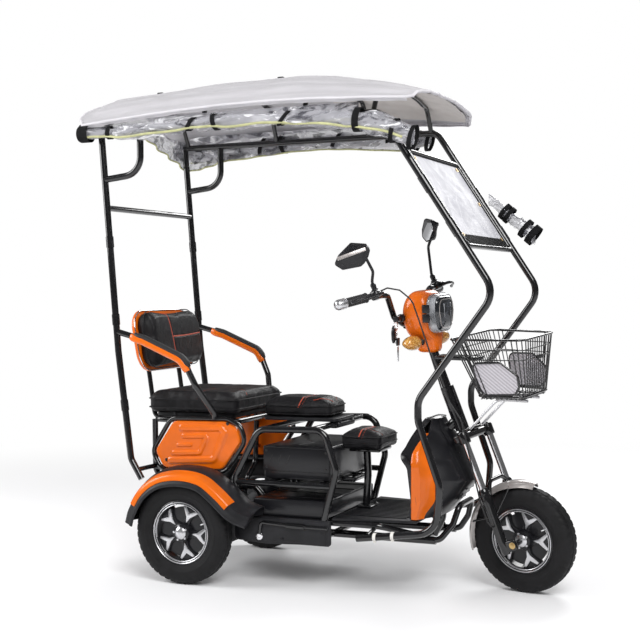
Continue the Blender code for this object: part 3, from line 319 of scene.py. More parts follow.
def plate(name, outline, low, high, plane="XZ", soften=0.0, segments=2):
    """An outline given some depth, with its rims softened."""
    place = {
        "XZ": lambda a, b, c: (a, c, b),
        "XY": lambda a, b, c: (a, b, c),
        "YZ": lambda a, b, c: (c, a, b),
    }[plane]
    deselect()
    bpy.ops.mesh.primitive_circle_add(vertices=len(outline), radius=1, fill_type="NGON")
    thing = fresh(name)
    for vertex, (a, b) in zip(thing.data.vertices, outline):
        vertex.co = place(a, b, low)
    shift = Vector(place(0, 0, high)) - Vector(place(0, 0, low))
    edit(
        thing,
        lambda: bpy.ops.mesh.extrude_region_move(TRANSFORM_OT_translate={"value": shift}),
        lambda: bpy.ops.mesh.select_all(action="SELECT"),
        lambda: bpy.ops.mesh.normals_make_consistent(inside=False),
    )
    if soften:
        bevelled(thing, soften, segments)
    return thing


def block(name, size, centre, soften=0.002, segments=3):
    deselect()
    bpy.ops.mesh.primitive_cube_add(size=1, location=centre, scale=size)
    thing = fresh(name)
    settle(thing)
    bevelled(thing, min(soften, 0.49 * min(size)), segments)
    return thing


def bevelled(thing, width, segments=2, angle=35):
    modifier = thing.modifiers.new("edge", "BEVEL")
    modifier.width = width
    modifier.segments = segments
    modifier.limit_method = "ANGLE"
    modifier.angle_limit = radians(angle)
    modifier.harden_normals = False
    return applied(thing)


def applied(thing):
    choose(thing)
    for modifier in list(thing.modifiers):
        bpy.ops.object.modifier_apply(modifier=modifier.name)
    return thing


def subdivided(thing, levels=1):
    modifier = thing.modifiers.new("finer", "SUBSURF")
    modifier.levels = modifier.render_levels = levels
    return applied(thing)


def settle(thing):
    """Put the object's place into its mesh."""
    choose(thing)
    bpy.ops.object.transform_apply(location=True, rotation=True, scale=True)
    return thing


def moved(thing, matrix):
    thing.data.transform(matrix)
    if matrix.determinant() < 0:
        edit(thing, lambda: bpy.ops.mesh.flip_normals())
    return thing


def copied(thing, matrix, name=None):
    choose(thing)
    bpy.ops.object.duplicate()
    twin = fresh(name or thing.name)
    return moved(twin, matrix)


def joined(name, *things):
    deselect()
    for thing in things:
        thing.select_set(True)
    bpy.context.view_layer.objects.active = things[0]
    if len(things) > 1:
        bpy.ops.object.join()
    return fresh(name)


def shifted(x=0.0, y=0.0, z=0.0):
    return Matrix.Translation((x, y, z))


def rolled(angle, axis):
    return Matrix.Rotation(angle, 4, axis)


MIRROR = Matrix.Scale(-1, 4, (0, 1, 0))
PLACED = Matrix.Translation((REAR_AXLE_X, 0, 0))


# Finishes: shader maths is written on sockets


class Wire:
    """A shader value that takes part in Python arithmetic."""

    def __init__(self, shader, socket):
        self.shader = shader
        self.socket = socket

    def math(self, operation, other=None, swapped=False):
        values = [self] if other is None else ([other, self] if swapped else [self, other])
        return self.shader.node("ShaderNodeMath", {"operation": operation}, values)

    def __add__(self, other):
        return self.math("ADD", other)

    __radd__ = __add__

    def __mul__(self, other):
        return self.math("MULTIPLY", other)

    __rmul__ = __mul__

    def __sub__(self, other):
        return self.math("SUBTRACT", other)

    def __rsub__(self, other):
        return self.math("SUBTRACT", other, True)

    def clear(self, low, high):
        """0 below low, 1 above high, with a soft step between."""
        settings = {"interpolation_type": "SMOOTHSTEP"}
        return self.shader.node("ShaderNodeMapRange", settings,
                                {"Value": self, "From Min": low, "From Max": high})


class Nodes:
    """Adds nodes to one node tree."""

    def __init__(self, tree):
        self.tree = tree

    def put(self, value, socket):
        if isinstance(value, Wire):
            self.tree.links.new(value.socket, socket)
        else:
            socket.default_value = value

    def node(self, kind, settings=None, values=None, output=0):
        """A node of that type with its settings, then its values or links."""
        made = self.tree.nodes.new(kind)
        for key, value in (settings or {}).items():
            setattr(made, key, value)
        pairs = values.items() if isinstance(values, dict) else enumerate(values or [])
        for key, value in pairs:
            self.put(value, made.inputs[key])
        return Wire(self, made.outputs[output])


class Finish(Nodes):
    """One material and the few nodes that it is made of."""

    def __init__(self, name, colour, rough, metallic=0.0, coat=0.0, coat_rough=0.08, **fixed):
        self.material = bpy.data.materials.new(name)
        self.material.use_nodes = True
        super().__init__(self.material.node_tree)
        self.skin = self.tree.nodes["Principled BSDF"]
        self.set("Base Color", (*colour, 1.0) if isinstance(colour, tuple) else colour)
        self.set("Roughness", rough)
        self.set("Metallic", metallic)
        self.set("Coat Weight", coat)
        self.set("Coat Roughness", coat_rough)
        for key, value in fixed.items():
            self.set(key.replace("_", " "), value)

    def set(self, name, value):
        self.put(value, self.skin.inputs[name])
        return self

    def places(self, scale=(1, 1, 1), turn=(0, 0, 0), centre=(0, 0, 0)):
        """Places on the piece in metres, turned and scaled for a pattern."""
        here = self.node("ShaderNodeTexCoord", output="Object")
        values = {"Vector": here, "Location": centre, "Rotation": turn, "Scale": scale}
        return self.node("ShaderNodeMapping", None, values)

    def axis(self, letter):
        return self.node("ShaderNodeSeparateXYZ", None, [self.places()], output=letter)

    def clouds(self, size, detail=3, rough=0.55, stretch=(1, 1, 1), distortion=0.0):
        """Noise whose spots are about size metres across."""
        values = {"Vector": self.places(stretch), "Scale": 1 / size, "Detail": detail, "Roughness": rough,
                  "Distortion": distortion}
        return self.node("ShaderNodeTexNoise", None, values)

    def cells(self, size, feature="F1", stretch=(1, 1, 1)):
        values = {"Vector": self.places(stretch), "Scale": 1 / size}
        return self.node("ShaderNodeTexVoronoi", {"feature": feature}, values)

    def stripes(self, pitch, letter="X", softness=0.0, turn=(0, 0, 0)):
        """A wave across an axis, once in each pitch, from 0 to 1."""
        values = {"Vector": self.places(turn=turn), "Scale": 0.05 * 2 * pi / pitch, "Distortion": softness}
        return self.node("ShaderNodeTexWave", {"bands_direction": letter}, values, output=1)

    def tint(self, share, first, second):
        """A colour between two, by a share from 0 to 1."""
        first, second = (shade if isinstance(shade, Wire) else (*shade, 1.0) for shade in (first, second))
        return self.node("ShaderNodeMix", {"data_type": "RGBA"}, {"Factor": share, 6: first, 7: second}, 2)

    def relief(self, height, depth, strength=1.0):
        """Bumps of that height field, depth metres deep, over any set before."""
        values = {"Strength": strength, "Distance": depth, "Height": height}
        if self.skin.inputs["Normal"].is_linked:
            values["Normal"] = Wire(self, self.skin.inputs["Normal"].links[0].from_socket)
        return self.set("Normal", self.node("ShaderNodeBump", None, values))

    def shade(self, size, dark, light):
        """Let the base colour drift between a darker and a lighter tone of itself."""
        colour = Vector(self.skin.inputs["Base Color"].default_value[:3])
        share = self.clouds(size).clear(0.3, 0.8)
        return self.set("Base Color", self.tint(share, tuple(colour * dark), tuple(colour * light)))


FINISHES = {}


def finish(name):
    """The material of that name, made when it is first asked for."""
    if name not in FINISHES:
        FINISHES[name] = RECIPES[name]().material
    return FINISHES[name]


def gloss_black():
    """Black stove enamel on steel tube."""
    made = Finish("gloss_black", tuple(colours().frame), 0.22, coat=0.85, coat_rough=0.04,
                  Specular_IOR_Level=0.28)
    flecks = made.clouds(0.0016, 2)
    made.shade(0.12, 0.7, 1.5)
    made.set("Roughness", 0.14 + made.clouds(0.03) * 0.14)
    made.relief(flecks, 0.00004)
    return made


def orange_paint():
    """Deep orange lacquered plastic with a faint flake."""
    made = Finish("orange_paint", tuple(colours().orange), 0.3, coat=0.55, coat_rough=0.04,
                  Specular_IOR_Level=0.2)
    made.shade(0.09, 0.90, 1.06)
    made.set("Roughness", 0.24 + made.clouds(0.0008, 1) * 0.14)
    made.relief(made.clouds(0.012, 2), 0.00006)
    return made


def moulded_black():
    """Black moulded plastic with a fine grain."""
    made = Finish("moulded_black", (0.012, 0.012, 0.014), 0.42, Specular_IOR_Level=0.32)
    made.shade(0.07, 0.8, 1.7)
    made.set("Roughness", 0.34 + made.clouds(0.02) * 0.22)
    made.relief(made.clouds(0.0030, 2), 0.00005)
    return made


def satin_black():
    """Smoother black plastic for covers, with soft reflections."""
    made = Finish("satin_black", (0.010, 0.010, 0.012), 0.28, coat=0.25, coat_rough=0.12,
                  Specular_IOR_Level=0.28)
    made.set("Roughness", 0.22 + made.clouds(0.04) * 0.18)
    made.relief(made.clouds(0.006, 2), 0.00003)
    return made


def tyre_rubber():
    made = Finish("tyre_rubber", (0.0075, 0.0073, 0.0080), 0.72, Specular_IOR_Level=0.24)
    worn = made.clouds(0.035, 4).clear(0.35, 0.8)
    made.shade(0.035, 0.8, 1.9)
    made.set("Roughness", 0.58 + worn * 0.3)
    made.relief(made.clouds(0.0009, 3), 0.00012)
    return made


def grip_rubber():
    made = Finish("grip_rubber", (0.013, 0.013, 0.014), 0.6)
    made.relief(made.cells(0.0024), 0.0001)
    return made


def seat_leather():
    """Black synthetic leather: pebbled grain, with softer reflections where it is stretched."""
    made = Finish("seat_leather", tuple(colours().leather), 0.4, Specular_IOR_Level=0.26)
    patches = made.clouds(0.06, 3).clear(0.3, 0.75)
    grain = made.cells(0.0019, "DISTANCE_TO_EDGE").clear(0.0, 0.25)
    made.shade(0.06, 0.8, 1.5)
    made.set("Roughness", 0.34 + patches * 0.12 + (1 - grain) * 0.12)
    made.relief(grain, 0.00016)
    made.relief(made.clouds(0.02, 3), 0.0006, 0.5)
    return made


def seam_red():
    """Thick red-brown thread and piping."""
    made = Finish("seam_red", tuple(colours().thread), 0.6)
    made.relief(made.stripes(0.0022, "DIAGONAL"), 0.0004)
    made.shade(0.004, 0.8, 1.3)
    return made


def canopy_cloth():
    """Pale grey coated cloth: a fine weave, streaks along it and a little grime."""
    made = Finish("canopy_cloth", tuple(colours().cloth), 0.72, Sheen_Weight=0.1, Sheen_Roughness=0.5)
    streaks = made.clouds(0.02, 4, stretch=(0.12, 1, 1)).clear(0.3, 0.75)
    grime = made.clouds(0.16, 5).clear(0.5, 0.85) * 0.5
    cloth = colours().cloth
    pale = made.tint(streaks, tuple(cloth * 0.95), tuple(cloth * 1.07))
    made.set("Base Color", made.tint(grime, pale, tuple(cloth * 0.82)))
    weave = made.stripes(0.0018, "X") * made.stripes(0.0018, "Y")
    made.set("Roughness", 0.62 + streaks * 0.14)
    made.relief(weave, 0.00025)
    made.relief(made.clouds(0.05, 3), 0.0012, 0.6)
    return made


def lining_cloth():
    made = Finish("lining_cloth", (0.56, 0.53, 0.50), 0.85)
    made.set("Base Color", made.tint(made.clouds(0.05, 4), (0.50, 0.47, 0.45), (0.64, 0.61, 0.59)))
    made.relief(made.stripes(0.002, "X") * made.stripes(0.002, "Y"), 0.0003)
    return made


def clear_vinyl():
    """Clear film, see-through between painted marks: white streaks along its creases are painted highlight,
    and dark grey patches where folds overlap are painted shade.
    """
    made = Finish("clear_vinyl", (0.60, 0.60, 0.65), 0.08, coat=1.0, coat_rough=0.03)
    folds = made.clouds(0.060, 3, stretch=(0.36, 1, 1), distortion=2.0)
    # painted highlight: white, more opaque streaks where the fold noise is high
    bright = folds.clear(0.57, 0.62)
    # painted shade: dark grey patches where the fold noise is low
    dark = folds.clear(0.47, 0.38)
    tone = made.tint(dark, (0.56, 0.56, 0.60), (0.10, 0.10, 0.12))
    made.set("Base Color", made.tint(bright, tone, (0.94, 0.94, 0.97)))
    made.set("Roughness", 0.06 + bright * 0.14)
    made.set("Alpha", 0.42 + bright * 0.40 + dark * 0.20)
    made.relief(folds, 0.010, 0.7)
    return made


def screen_vinyl():
    """The windscreen's flatter film, whitened where it has been folded."""
    made = Finish("screen_vinyl", (0.42, 0.42, 0.46), 0.5, Specular_IOR_Level=0.06)
    haze = made.clouds(0.12, 3, distortion=1.0).clear(0.30, 0.75)
    creases = made.cells(0.30, "DISTANCE_TO_EDGE").clear(0.0, 0.012) * haze
    milky = made.tint(haze, (0.46, 0.46, 0.50), (0.60, 0.60, 0.65))
    made.set("Base Color", made.tint(creases, (0.80, 0.80, 0.84), milky))
    made.set("Roughness", 0.50 + haze * 0.16)
    made.set("Alpha", 0.72 + haze * 0.14)
    made.relief(creases, 0.0016, 0.7)
    made.relief(made.clouds(0.05, 3), 0.003, 0.5)
    return made


def piping_green():
    made = Finish("piping_green", tuple(colours().piping), 0.55)
    made.shade(0.03, 0.85, 1.2)
    return made


def hem_cloth():
    """The folded hem of the canopy, paler than its top."""
    made = Finish("hem_cloth", tuple(colours().cloth * 1.30), 0.75)
    made.shade(0.09, 0.93, 1.03)
    made.relief(made.clouds(0.004, 2), 0.0006)
    return made


def strap_web():
    """Black woven webbing."""
    made = Finish("strap_web", (0.008, 0.008, 0.009), 0.8, Specular_IOR_Level=0.12)
    made.set("Base Color", made.tint(made.clouds(0.01), (0.005, 0.005, 0.006), (0.016, 0.016, 0.017)))
    made.relief(made.stripes(0.0016, "X") + made.stripes(0.0016, "Z"), 0.0004)
    return made


def bright_chrome():
    made = Finish("bright_chrome", (0.80, 0.80, 0.82), 0.08, metallic=1.0)
    made.set("Roughness", 0.06 + made.clouds(0.02) * 0.12)
    return made


def brushed_silver():
    made = Finish("brushed_silver", (0.66, 0.66, 0.68), 0.25, metallic=0.95)
    made.set("Roughness", 0.2 + made.clouds(0.006, stretch=(1, 0.2, 1)) * 0.2)
    return made


def silver_paint():
    made = Finish("silver_paint", (0.46, 0.42, 0.40), 0.3, metallic=0.55, coat=0.8)
    made.set("Base Color", made.tint(made.clouds(0.03, 2), (0.36, 0.33, 0.32), (0.60, 0.56, 0.54)))
    made.set("Roughness", 0.26 + made.clouds(0.02) * 0.12)
    return made


def amber_lens():
    made = Finish("amber_lens", (0.72, 0.34, 0.06), 0.12, coat=0.8)
    cells = made.cells(0.006)
    made.set("Base Color", made.tint(cells.clear(0.0, 0.8), (0.85, 0.50, 0.14), (0.42, 0.16, 0.02)))
    made.relief(cells, 0.001)
    return made


def lamp_glass():
    """The headlamp's clear front: dark glass over a faceted reflector, with a soft lighter patch of painted
    reflection.
    """
    made = Finish("lamp_glass", (0.030, 0.033, 0.038), 0.05, coat=1.0, coat_rough=0.015,
                  Specular_IOR_Level=0.6)
    # painted reflection: a soft lighter patch on the dark glass
    painted_reflection = made.clouds(0.050, 1).clear(0.50, 0.72)
    made.set("Base Color", made.tint(painted_reflection, (0.014, 0.016, 0.020), (0.060, 0.066, 0.080)))
    made.set("Roughness", 0.05 + painted_reflection * 0.10)
    return made


def clear_shell():
    """Clear moulding as grey glass, darker and lighter in cloudy patches: the lighter patches are painted
    reflection.
    """
    made = Finish("clear_shell", (0.34, 0.35, 0.38), 0.05, coat=1.0, coat_rough=0.02)
    # painted reflection: lighter, more opaque cloudy patches on the grey glass
    bright = made.clouds(0.060, 1).clear(0.42, 0.62)
    made.set("Base Color", made.tint(bright, (0.20, 0.21, 0.23), (0.52, 0.53, 0.56)))
    made.set("Roughness", 0.04 + bright * 0.08)
    made.set("Alpha", 0.62 + bright * 0.15)
    return made


def mirror_glass():
    made = Finish("mirror_glass", (0.82, 0.83, 0.85), 0.03, metallic=1.0)
    made.set("Roughness", 0.02 + made.clouds(0.03) * 0.04)
    return made


def brass_ring():
    made = Finish("brass_ring", (0.62, 0.44, 0.20), 0.3, metallic=1.0)
    made.set("Roughness", 0.22 + made.clouds(0.004) * 0.2)
    return made


def cable_black():
    made = Finish("cable_black", (0.014, 0.014, 0.015), 0.45)
    made.set("Roughness", 0.38 + made.clouds(0.01) * 0.2)
    return made


def tie_white():
    made = Finish("tie_white", (0.72, 0.71, 0.68), 0.5)
    made.set("Base Color", made.tint(made.clouds(0.01), (0.64, 0.62, 0.58), (0.80, 0.79, 0.76)))
    return made


def basket_mesh():
    """The pale perforated sheet on the basket's sides."""
    made = Finish("basket_mesh", (0.52, 0.50, 0.53), 0.45, metallic=0.5)
    holes = made.cells(0.0042)
    weave = made.stripes(0.010, "X", 0.4, (0, radians(50), 0))
    made.set("Base Color", made.tint(weave, (0.40, 0.38, 0.41), (0.62, 0.60, 0.64)))
    made.relief(holes, 0.0004)
    return made


def motor_casting():
    made = Finish("motor_casting", (0.022, 0.022, 0.024), 0.5, metallic=0.3)
    made.relief(made.clouds(0.002, 3), 0.0002)
    made.set("Roughness", 0.4 + made.clouds(0.03) * 0.25)
    return made


# Finish functions by name
RECIPES = {recipe.__name__: recipe for recipe in (
    gloss_black, orange_paint, moulded_black, satin_black, tyre_rubber, grip_rubber, seat_leather, seam_red,
    canopy_cloth, hem_cloth, lining_cloth, clear_vinyl, screen_vinyl, piping_green, strap_web, bright_chrome,
    brushed_silver, silver_paint, amber_lens, lamp_glass, clear_shell, mirror_glass, brass_ring,
    cable_black, tie_white, basket_mesh, motor_casting,
)}


# Where a body's pieces go that are written in its own frame
HOMES = {"chassis": PLACED, "steering": STEERING}
IN_PLACE = Matrix()


def dress(thing, body, look, replaces=(), angle=35, matrix=None):
    """Settle a piece: its place, shading, finish, body and the nodes that it stands for."""
    settle(moved(thing, matrix or HOMES.get(body, IN_PLACE)))
    bpy.ops.object.shade_smooth_by_angle(angle=radians(angle))
    thing.data.materials.clear()
    thing.data.materials.append(finish(look))
    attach(thing, body)
    if replaces:
        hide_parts(*replaces)


def dress_pair(thing, name, body, look, nodes=None, angle=35, matrix=None):
    """The left piece and its mirror image on the right; nodes is what the two nodes' names start with."""
    home = matrix or HOMES[body]
    twin = copied(thing, home @ MIRROR, f"{name}_right_look")
    thing.name = f"{name}_left_look"
    dress(twin, body, look, [f"{nodes}_right"] if nodes else (), angle, IN_PLACE)
    dress(thing, body, look, [f"{nodes}_left"] if nodes else (), angle, home)
    return thing, twin


# Sizes and colours that a user may change


class TRICYCLE_PG_stage(bpy.types.PropertyGroup):
    floor: FloatVectorProperty(
        name="Floor", description="Colour of the floor", subtype="COLOR", default=(0.90, 0.90, 0.91))
    key_power: FloatProperty(
        name="Key light", description="Power of the large soft light", default=230.0, unit="POWER")
    fill_power: FloatProperty(
        name="Fill light", description="Power of the light on the far side", default=110.0, unit="POWER")
    ambient: FloatProperty(
        name="Ambient", description="Strength of the light from all round", default=0.42, min=0.0)


class TRICYCLE_PG_colours(bpy.types.PropertyGroup):
    orange: FloatVectorProperty(
        name="Panels", description="Lacquer on the coloured panels", subtype="COLOR",
        default=(0.78, 0.145, 0.004))
    frame: FloatVectorProperty(
        name="Tubes", description="Enamel on the steel tubes", subtype="COLOR", default=(0.006, 0.006, 0.007))
    leather: FloatVectorProperty(
        name="Seats", description="Leather on the seats", subtype="COLOR", default=(0.0062, 0.0058, 0.0070))
    thread: FloatVectorProperty(
        name="Thread", description="Thread and piping on the seats", subtype="COLOR",
        default=(0.42, 0.055, 0.022))
    cloth: FloatVectorProperty(
        name="Canopy", description="Cloth of the canopy", subtype="COLOR", default=(0.50, 0.488, 0.512))
    piping: FloatVectorProperty(
        name="Piping", description="Edge of the clear curtains", subtype="COLOR", default=(0.50, 0.50, 0.26))


class TRICYCLE_PG_sizes(bpy.types.PropertyGroup):
    tread_depth: FloatProperty(
        name="Tread depth", description="Depth of the tyre's grooves", default=0.0028, unit="LENGTH")
    tread_count: IntProperty(
        name="Tread blocks", description="Tread blocks round a tyre", default=44, min=12)
    cushion_swell: FloatProperty(
        name="Cushion swell", description="How far a cushion's cover may swell", default=0.012, unit="LENGTH")
    seam_radius: FloatProperty(
        name="Seam", description="Radius of the piping sewn on a seat", default=0.0016, unit="LENGTH")
    canopy_grooves: IntProperty(
        name="Canopy ribs", description="Lengthwise ribs over the canopy", default=9, min=1)
    canopy_groove_depth: FloatProperty(
        name="Rib height", description="Height of the canopy's ribs", default=0.004, unit="LENGTH")
    wire_radius: FloatProperty(
        name="Basket wire", description="Radius of the basket's thin wires", default=0.0021, unit="LENGTH")
    bolt_radius: FloatProperty(
        name="Bolt", description="Radius of a bolt's head", default=0.0065, unit="LENGTH")


def stage_settings():
    return bpy.context.scene.tricycle_stage


def colours():
    return bpy.context.scene.tricycle_colours


def sizes():
    return bpy.context.scene.tricycle_sizes


# Small fittings that several pieces carry


def bolts(name, places):
    """Hexagon heads on washers: (place, direction, radius) each, from one model."""
    deselect()
    bpy.ops.mesh.primitive_circle_add(vertices=6, radius=1, fill_type="NGON")
    head = fresh(f"{name}_head")
    edit(head, lambda: bpy.ops.mesh.extrude_region_move(TRANSFORM_OT_translate={"value": (0, 0, 0.75)}))
    merged(head)
    bevelled(head, 0.12, 2)
    washer = turned(f"{name}_washer", [(0, 0), (0, 1.35), (0.16, 1.45), (0.22, 1.35), (0.22, 0)], 20, "Z")
    model = joined(f"{name}_model", head, washer)
    copies = []
    for place, direction, radius in places:
        turn = Vector(direction).to_track_quat("Z", "Y").to_matrix().to_4x4()
        copies.append(copied(model, Matrix.Translation(place) @ turn @ Matrix.Scale(radius, 4)))
    bpy.data.objects.remove(model)
    return joined(name, *copies)


def lofted(name, rings, thickness=0.0, weld=True):
    """A skin through closed rings of points; thin walls go inward."""
    count = len(rings[0])

    def surface(u, v):
        row = v * (len(rings) - 1)
        index = min(int(row + 1e-4), len(rings) - 2)
        column = round(u * count) % count
        return rings[index][column].lerp(rings[index + 1][column], clamp(row - index))

    return wrapped(name, count, len(rings) - 1, surface, True, thickness, weld)


def capped(name, rings):
    """The same skin, closed at both ends."""
    ends = []
    for ring in (rings[0], rings[-1]):
        middle = sum(ring, Vector()) / len(ring)
        ends.append([middle.copy() for _ in ring])
    return lofted(name, [ends[0], *rings, ends[1]])


def swept(name, path, section, normals, closed=False):
    """A closed (across, out) section carried along a path with the given out directions."""
    rings = []
    for index, (point, out) in enumerate(zip(path, normals)):
        ahead = path[(index + 1) % len(path)] if closed or index + 1 < len(path) else point
        behind = path[index - 1] if closed or index else point
        side = (ahead - behind).normalized().cross(out).normalized()
        rings.append([point + side * across + out * up for across, up in section])
    if closed:
        return lofted(name, [*rings, rings[0]])
    return capped(name, rings)


class TRICYCLE_OT_stage(bpy.types.Operator):
    """Floor, world, lights and the camera at the photograph's angle"""

    bl_idname = "tricycle.stage"
    bl_label = "Stage"

    def execute(self, context):
        settings = stage_settings()
        self.floor(tuple(settings.floor))
        self.world(context.scene.world, settings.ambient)
        lamps = (
            # name, place, power, size
            ("key", (2.6, -3.4, 4.2), settings.key_power, 3.0),
            ("fill", (-3.6, -1.6, 2.4), settings.fill_power, 2.6),
            ("rim", (0.4, 3.8, 3.4), settings.fill_power, 2.4),
        )
        for name, place, power, size in lamps:
            self.lamp(name, place, power, size)
        self.camera(context.scene)
        context.scene.view_settings.view_transform = "Standard"
        return {"FINISHED"}

    @staticmethod
    def floor(colour):
        deselect()
        bpy.ops.mesh.primitive_plane_add(size=40)
        ground = fresh("floor")
        look = Finish("floor_paint", colour, 0.7)
        far = look.node("ShaderNodeVectorMath", {"operation": "LENGTH"}, [look.places()], output="Value")
        sky = look.node("ShaderNodeEmission", None, {"Color": (1, 1, 1, 1), "Strength": 1.0})
        look.set("Roughness", 0.7 + look.clouds(0.3) * 0.1)
        share = far.clear(1.6, 4.5) * look.node("ShaderNodeLightPath", output="Is Camera Ray")
        skin = Wire(look, look.skin.outputs[0])
        both = look.node("ShaderNodeMixShader", None, [share, skin, sky])
        look.put(both, look.tree.nodes["Material Output"].inputs["Surface"])
        ground.data.materials.append(look.material)

    @staticmethod
    def world(world, ambient):
        world = world or bpy.data.worlds.new("studio")
        bpy.context.scene.world = world
        world.use_nodes = True
        sky = Nodes(world.node_tree)
        light = "ShaderNodeBackground"
        rays = [sky.node("ShaderNodeLightPath", output=f"Is {kind} Ray")
                for kind in ("Camera", "Transmission", "Glossy")]
        lit = sky.node(light, None, {"Color": (1, 1, 1, 1), "Strength": ambient})
        dim = sky.node(light, None, {"Color": (1, 1, 1, 1), "Strength": ambient * 0.30})
        white = sky.node(light, None, {"Color": (1, 1, 1, 1), "Strength": 1.0})
        seen = sky.node("ShaderNodeMath", {"operation": "MAXIMUM"}, rays[:2])
        shining = sky.node("ShaderNodeMixShader", None, [rays[2], lit, dim])
        both = sky.node("ShaderNodeMixShader", None, [seen, shining, white])
        sky.put(both, sky.tree.nodes["World Output"].inputs["Surface"])

    @staticmethod
    def lamp(name, place, power, size):
        turn = (Vector((0, 0, 0.8)) - Vector(place)).to_track_quat("-Z", "Y").to_euler()
        bpy.ops.object.light_add(type="AREA", location=place, rotation=turn)
        lamp = bpy.context.object
        lamp.name = f"lamp_{name}"
        lamp.data.shape = "DISK"
        lamp.data.size = size
        lamp.data.energy = power

    @staticmethod
    def camera(scene):
        """The photograph's place, turn and lens, found from the object's own lines."""
        turn, drop, tilt = radians(23.31), radians(1.35), radians(-0.48)
        ahead = Vector((-sin(turn) * cos(drop), cos(turn) * cos(drop), -sin(drop)))
        level = Vector((cos(turn), sin(turn), 0))
        up = level.cross(ahead)
        right = level * cos(tilt) + up * sin(tilt)
        top = up * cos(tilt) - level * sin(tilt)
        bpy.ops.object.camera_add(location=(1.75949, -4.229, 1.06))
        camera = bpy.context.object
        camera.name = "camera"
        turned_to = Matrix((right, top, -ahead)).transposed().to_4x4()
        camera.matrix_world = Matrix.Translation(camera.location) @ turned_to
        camera.data.sensor_width = 36.0
        camera.data.lens = 69.02
        scene.camera = camera


# Steel tubes of the chassis


def rail_routes():
    """Main rails, bumper, cross tubes, deck rails, down tube and head tube."""
    routes = []
    rail = [(-0.130, RAIL_REAR_Z), (0.060, RAIL_REAR_Z), (0.170, RAIL_Z), (0.890, RAIL_Z)]
    deck = [(0.16, DECK_HALF, SIDE_RAIL_Z), (0.72, DECK_HALF, SIDE_RAIL_Z), (0.84, RAIL_HALF, 0.190)]
    for side in (1, -1):
        routes.append((bent([(x, side * RAIL_HALF, z) for x, z in rail], 0.040), 0.014))
        routes.append((bent([(x, side * y, z) for x, y, z in deck], 0.050), CROSS_RADIUS))
        for x in (0.20, 0.50):
            routes.append(([(x, side * DECK_HALF, RAIL_Z), (x, side * DECK_HALF, SIDE_RAIL_Z)], CROSS_RADIUS))
        routes.append(([(0.700, side * 0.200, 0.232), (0.700, side * POST_Y, 0.2112)], 0.007))
        routes.append(([(0.800, side * 0.150, 0.203), (0.800, side * POST_Y, 0.2245)], 0.007))
    half_bumper = [(0.860, 0.120, 0.178), (0.905, 0.120, 0.182), (0.945, 0.095, 0.235), (0.964, 0.080, 0.300)]
    bumper = other_side(half_bumper) + [Vector(point) for point in reversed(half_bumper)]
    routes.append((bent(bumper, 0.030), CROSS_RADIUS))
    crossbars = (
        # along, height, half width
        (-0.10, RAIL_REAR_Z, 0.12), (0.20, RAIL_Z, 0.235), (0.50, RAIL_Z, 0.235), (0.84, RAIL_Z, 0.12),
    )
    for x, z, half in crossbars:
        routes.append(([(x, -half, z), (x, half, z)], CROSS_RADIUS))
    down = [(0.840, 0, 0.178), (0.872, 0, 0.240), (0.872, 0, 0.535), (0.9418, 0, 0.602)]
    routes.append((bent(down, 0.050), 0.019))
    routes.append(([(0.9538, 0, 0.560), (0.900, 0, 0.700)], 0.025))
    return routes


def main_rails():
    frame_tubes = tubes("main_frame_look", rail_routes())
    clamps = []
    for side in (1, -1):
        clamps.append(block("axle_clamp", (0.050, 0.030, 0.100), (0, side * RAIL_HALF, 0.226), 0.006))
    gusset = plate("gusset", [(0.845, 0.19), (0.868, 0.19), (0.868, 0.30)], -0.003, 0.003, "XZ", 0.001)
    thing = joined("main_frame_look", frame_tubes, *clamps, gusset)
    dress(thing, "chassis", "gloss_black", ["main_frame"])


def seat_frame():
    z, half = SEAT_FRAME_Z, SEAT_FRAME_HALF
    loop = [(-0.205, half, z), (0.140, half, z), (0.140, -half, z), (-0.205, -half, z)]
    routes = [(bent(loop, 0.030, True), CROSS_RADIUS, True)]
    guard = pushed_out(PANEL_OUTLINE, 0.016, (0, 0.500))
    for side in (1, -1):
        legs = (
            [(-0.205, half, z), (-0.205, half, 0.370), (-0.10, RAIL_HALF, 0.324), (-0.10, RAIL_HALF, 0.304)],
            [(0.040, half, z), (0.030, half, 0.370), (0.030, RAIL_HALF, 0.324), (0.030, RAIL_HALF, 0.304)],
        )
        for leg in legs:
            routes.append((bent([(x, side * y, height) for x, y, height in leg], 0.040), CROSS_RADIUS))
        routes.append(([(-0.205, side * half, 0.395), (0.030, side * half, 0.395)], CROSS_RADIUS))
        routes.append((bent([(x, side * 0.218, height) for x, height in guard], 0.045, True), 0.009, True))
        for x in (-0.090, 0.080):
            routes.append(([(x, side * half, z), (x, side * 0.218, 0.590)], 0.006))
        routes.append(([(-0.205, side * half, 0.400), (-0.212, side * POST_Y, 0.400)], 0.009))
    dress(tubes("seat_frame_look", routes), "chassis", "gloss_black", ["seat_frame"])


PANEL_OUTLINE = (
    (-0.105, 0.578), (0.110, 0.582), (0.160, 0.560), (0.176, 0.510), (0.100, 0.404), (-0.150, 0.400),
    (-0.186, 0.462),
)


def pushed_out(outline, reach, centre):
    """Each corner moved out from the centre by reach."""
    pushed = []
    for x, z in outline:
        length = hypot(x - centre[0], z - centre[1])
        scale = (length + reach) / length
        pushed.append((centre[0] + (x - centre[0]) * scale, centre[1] + (z - centre[1]) * scale))
    return pushed


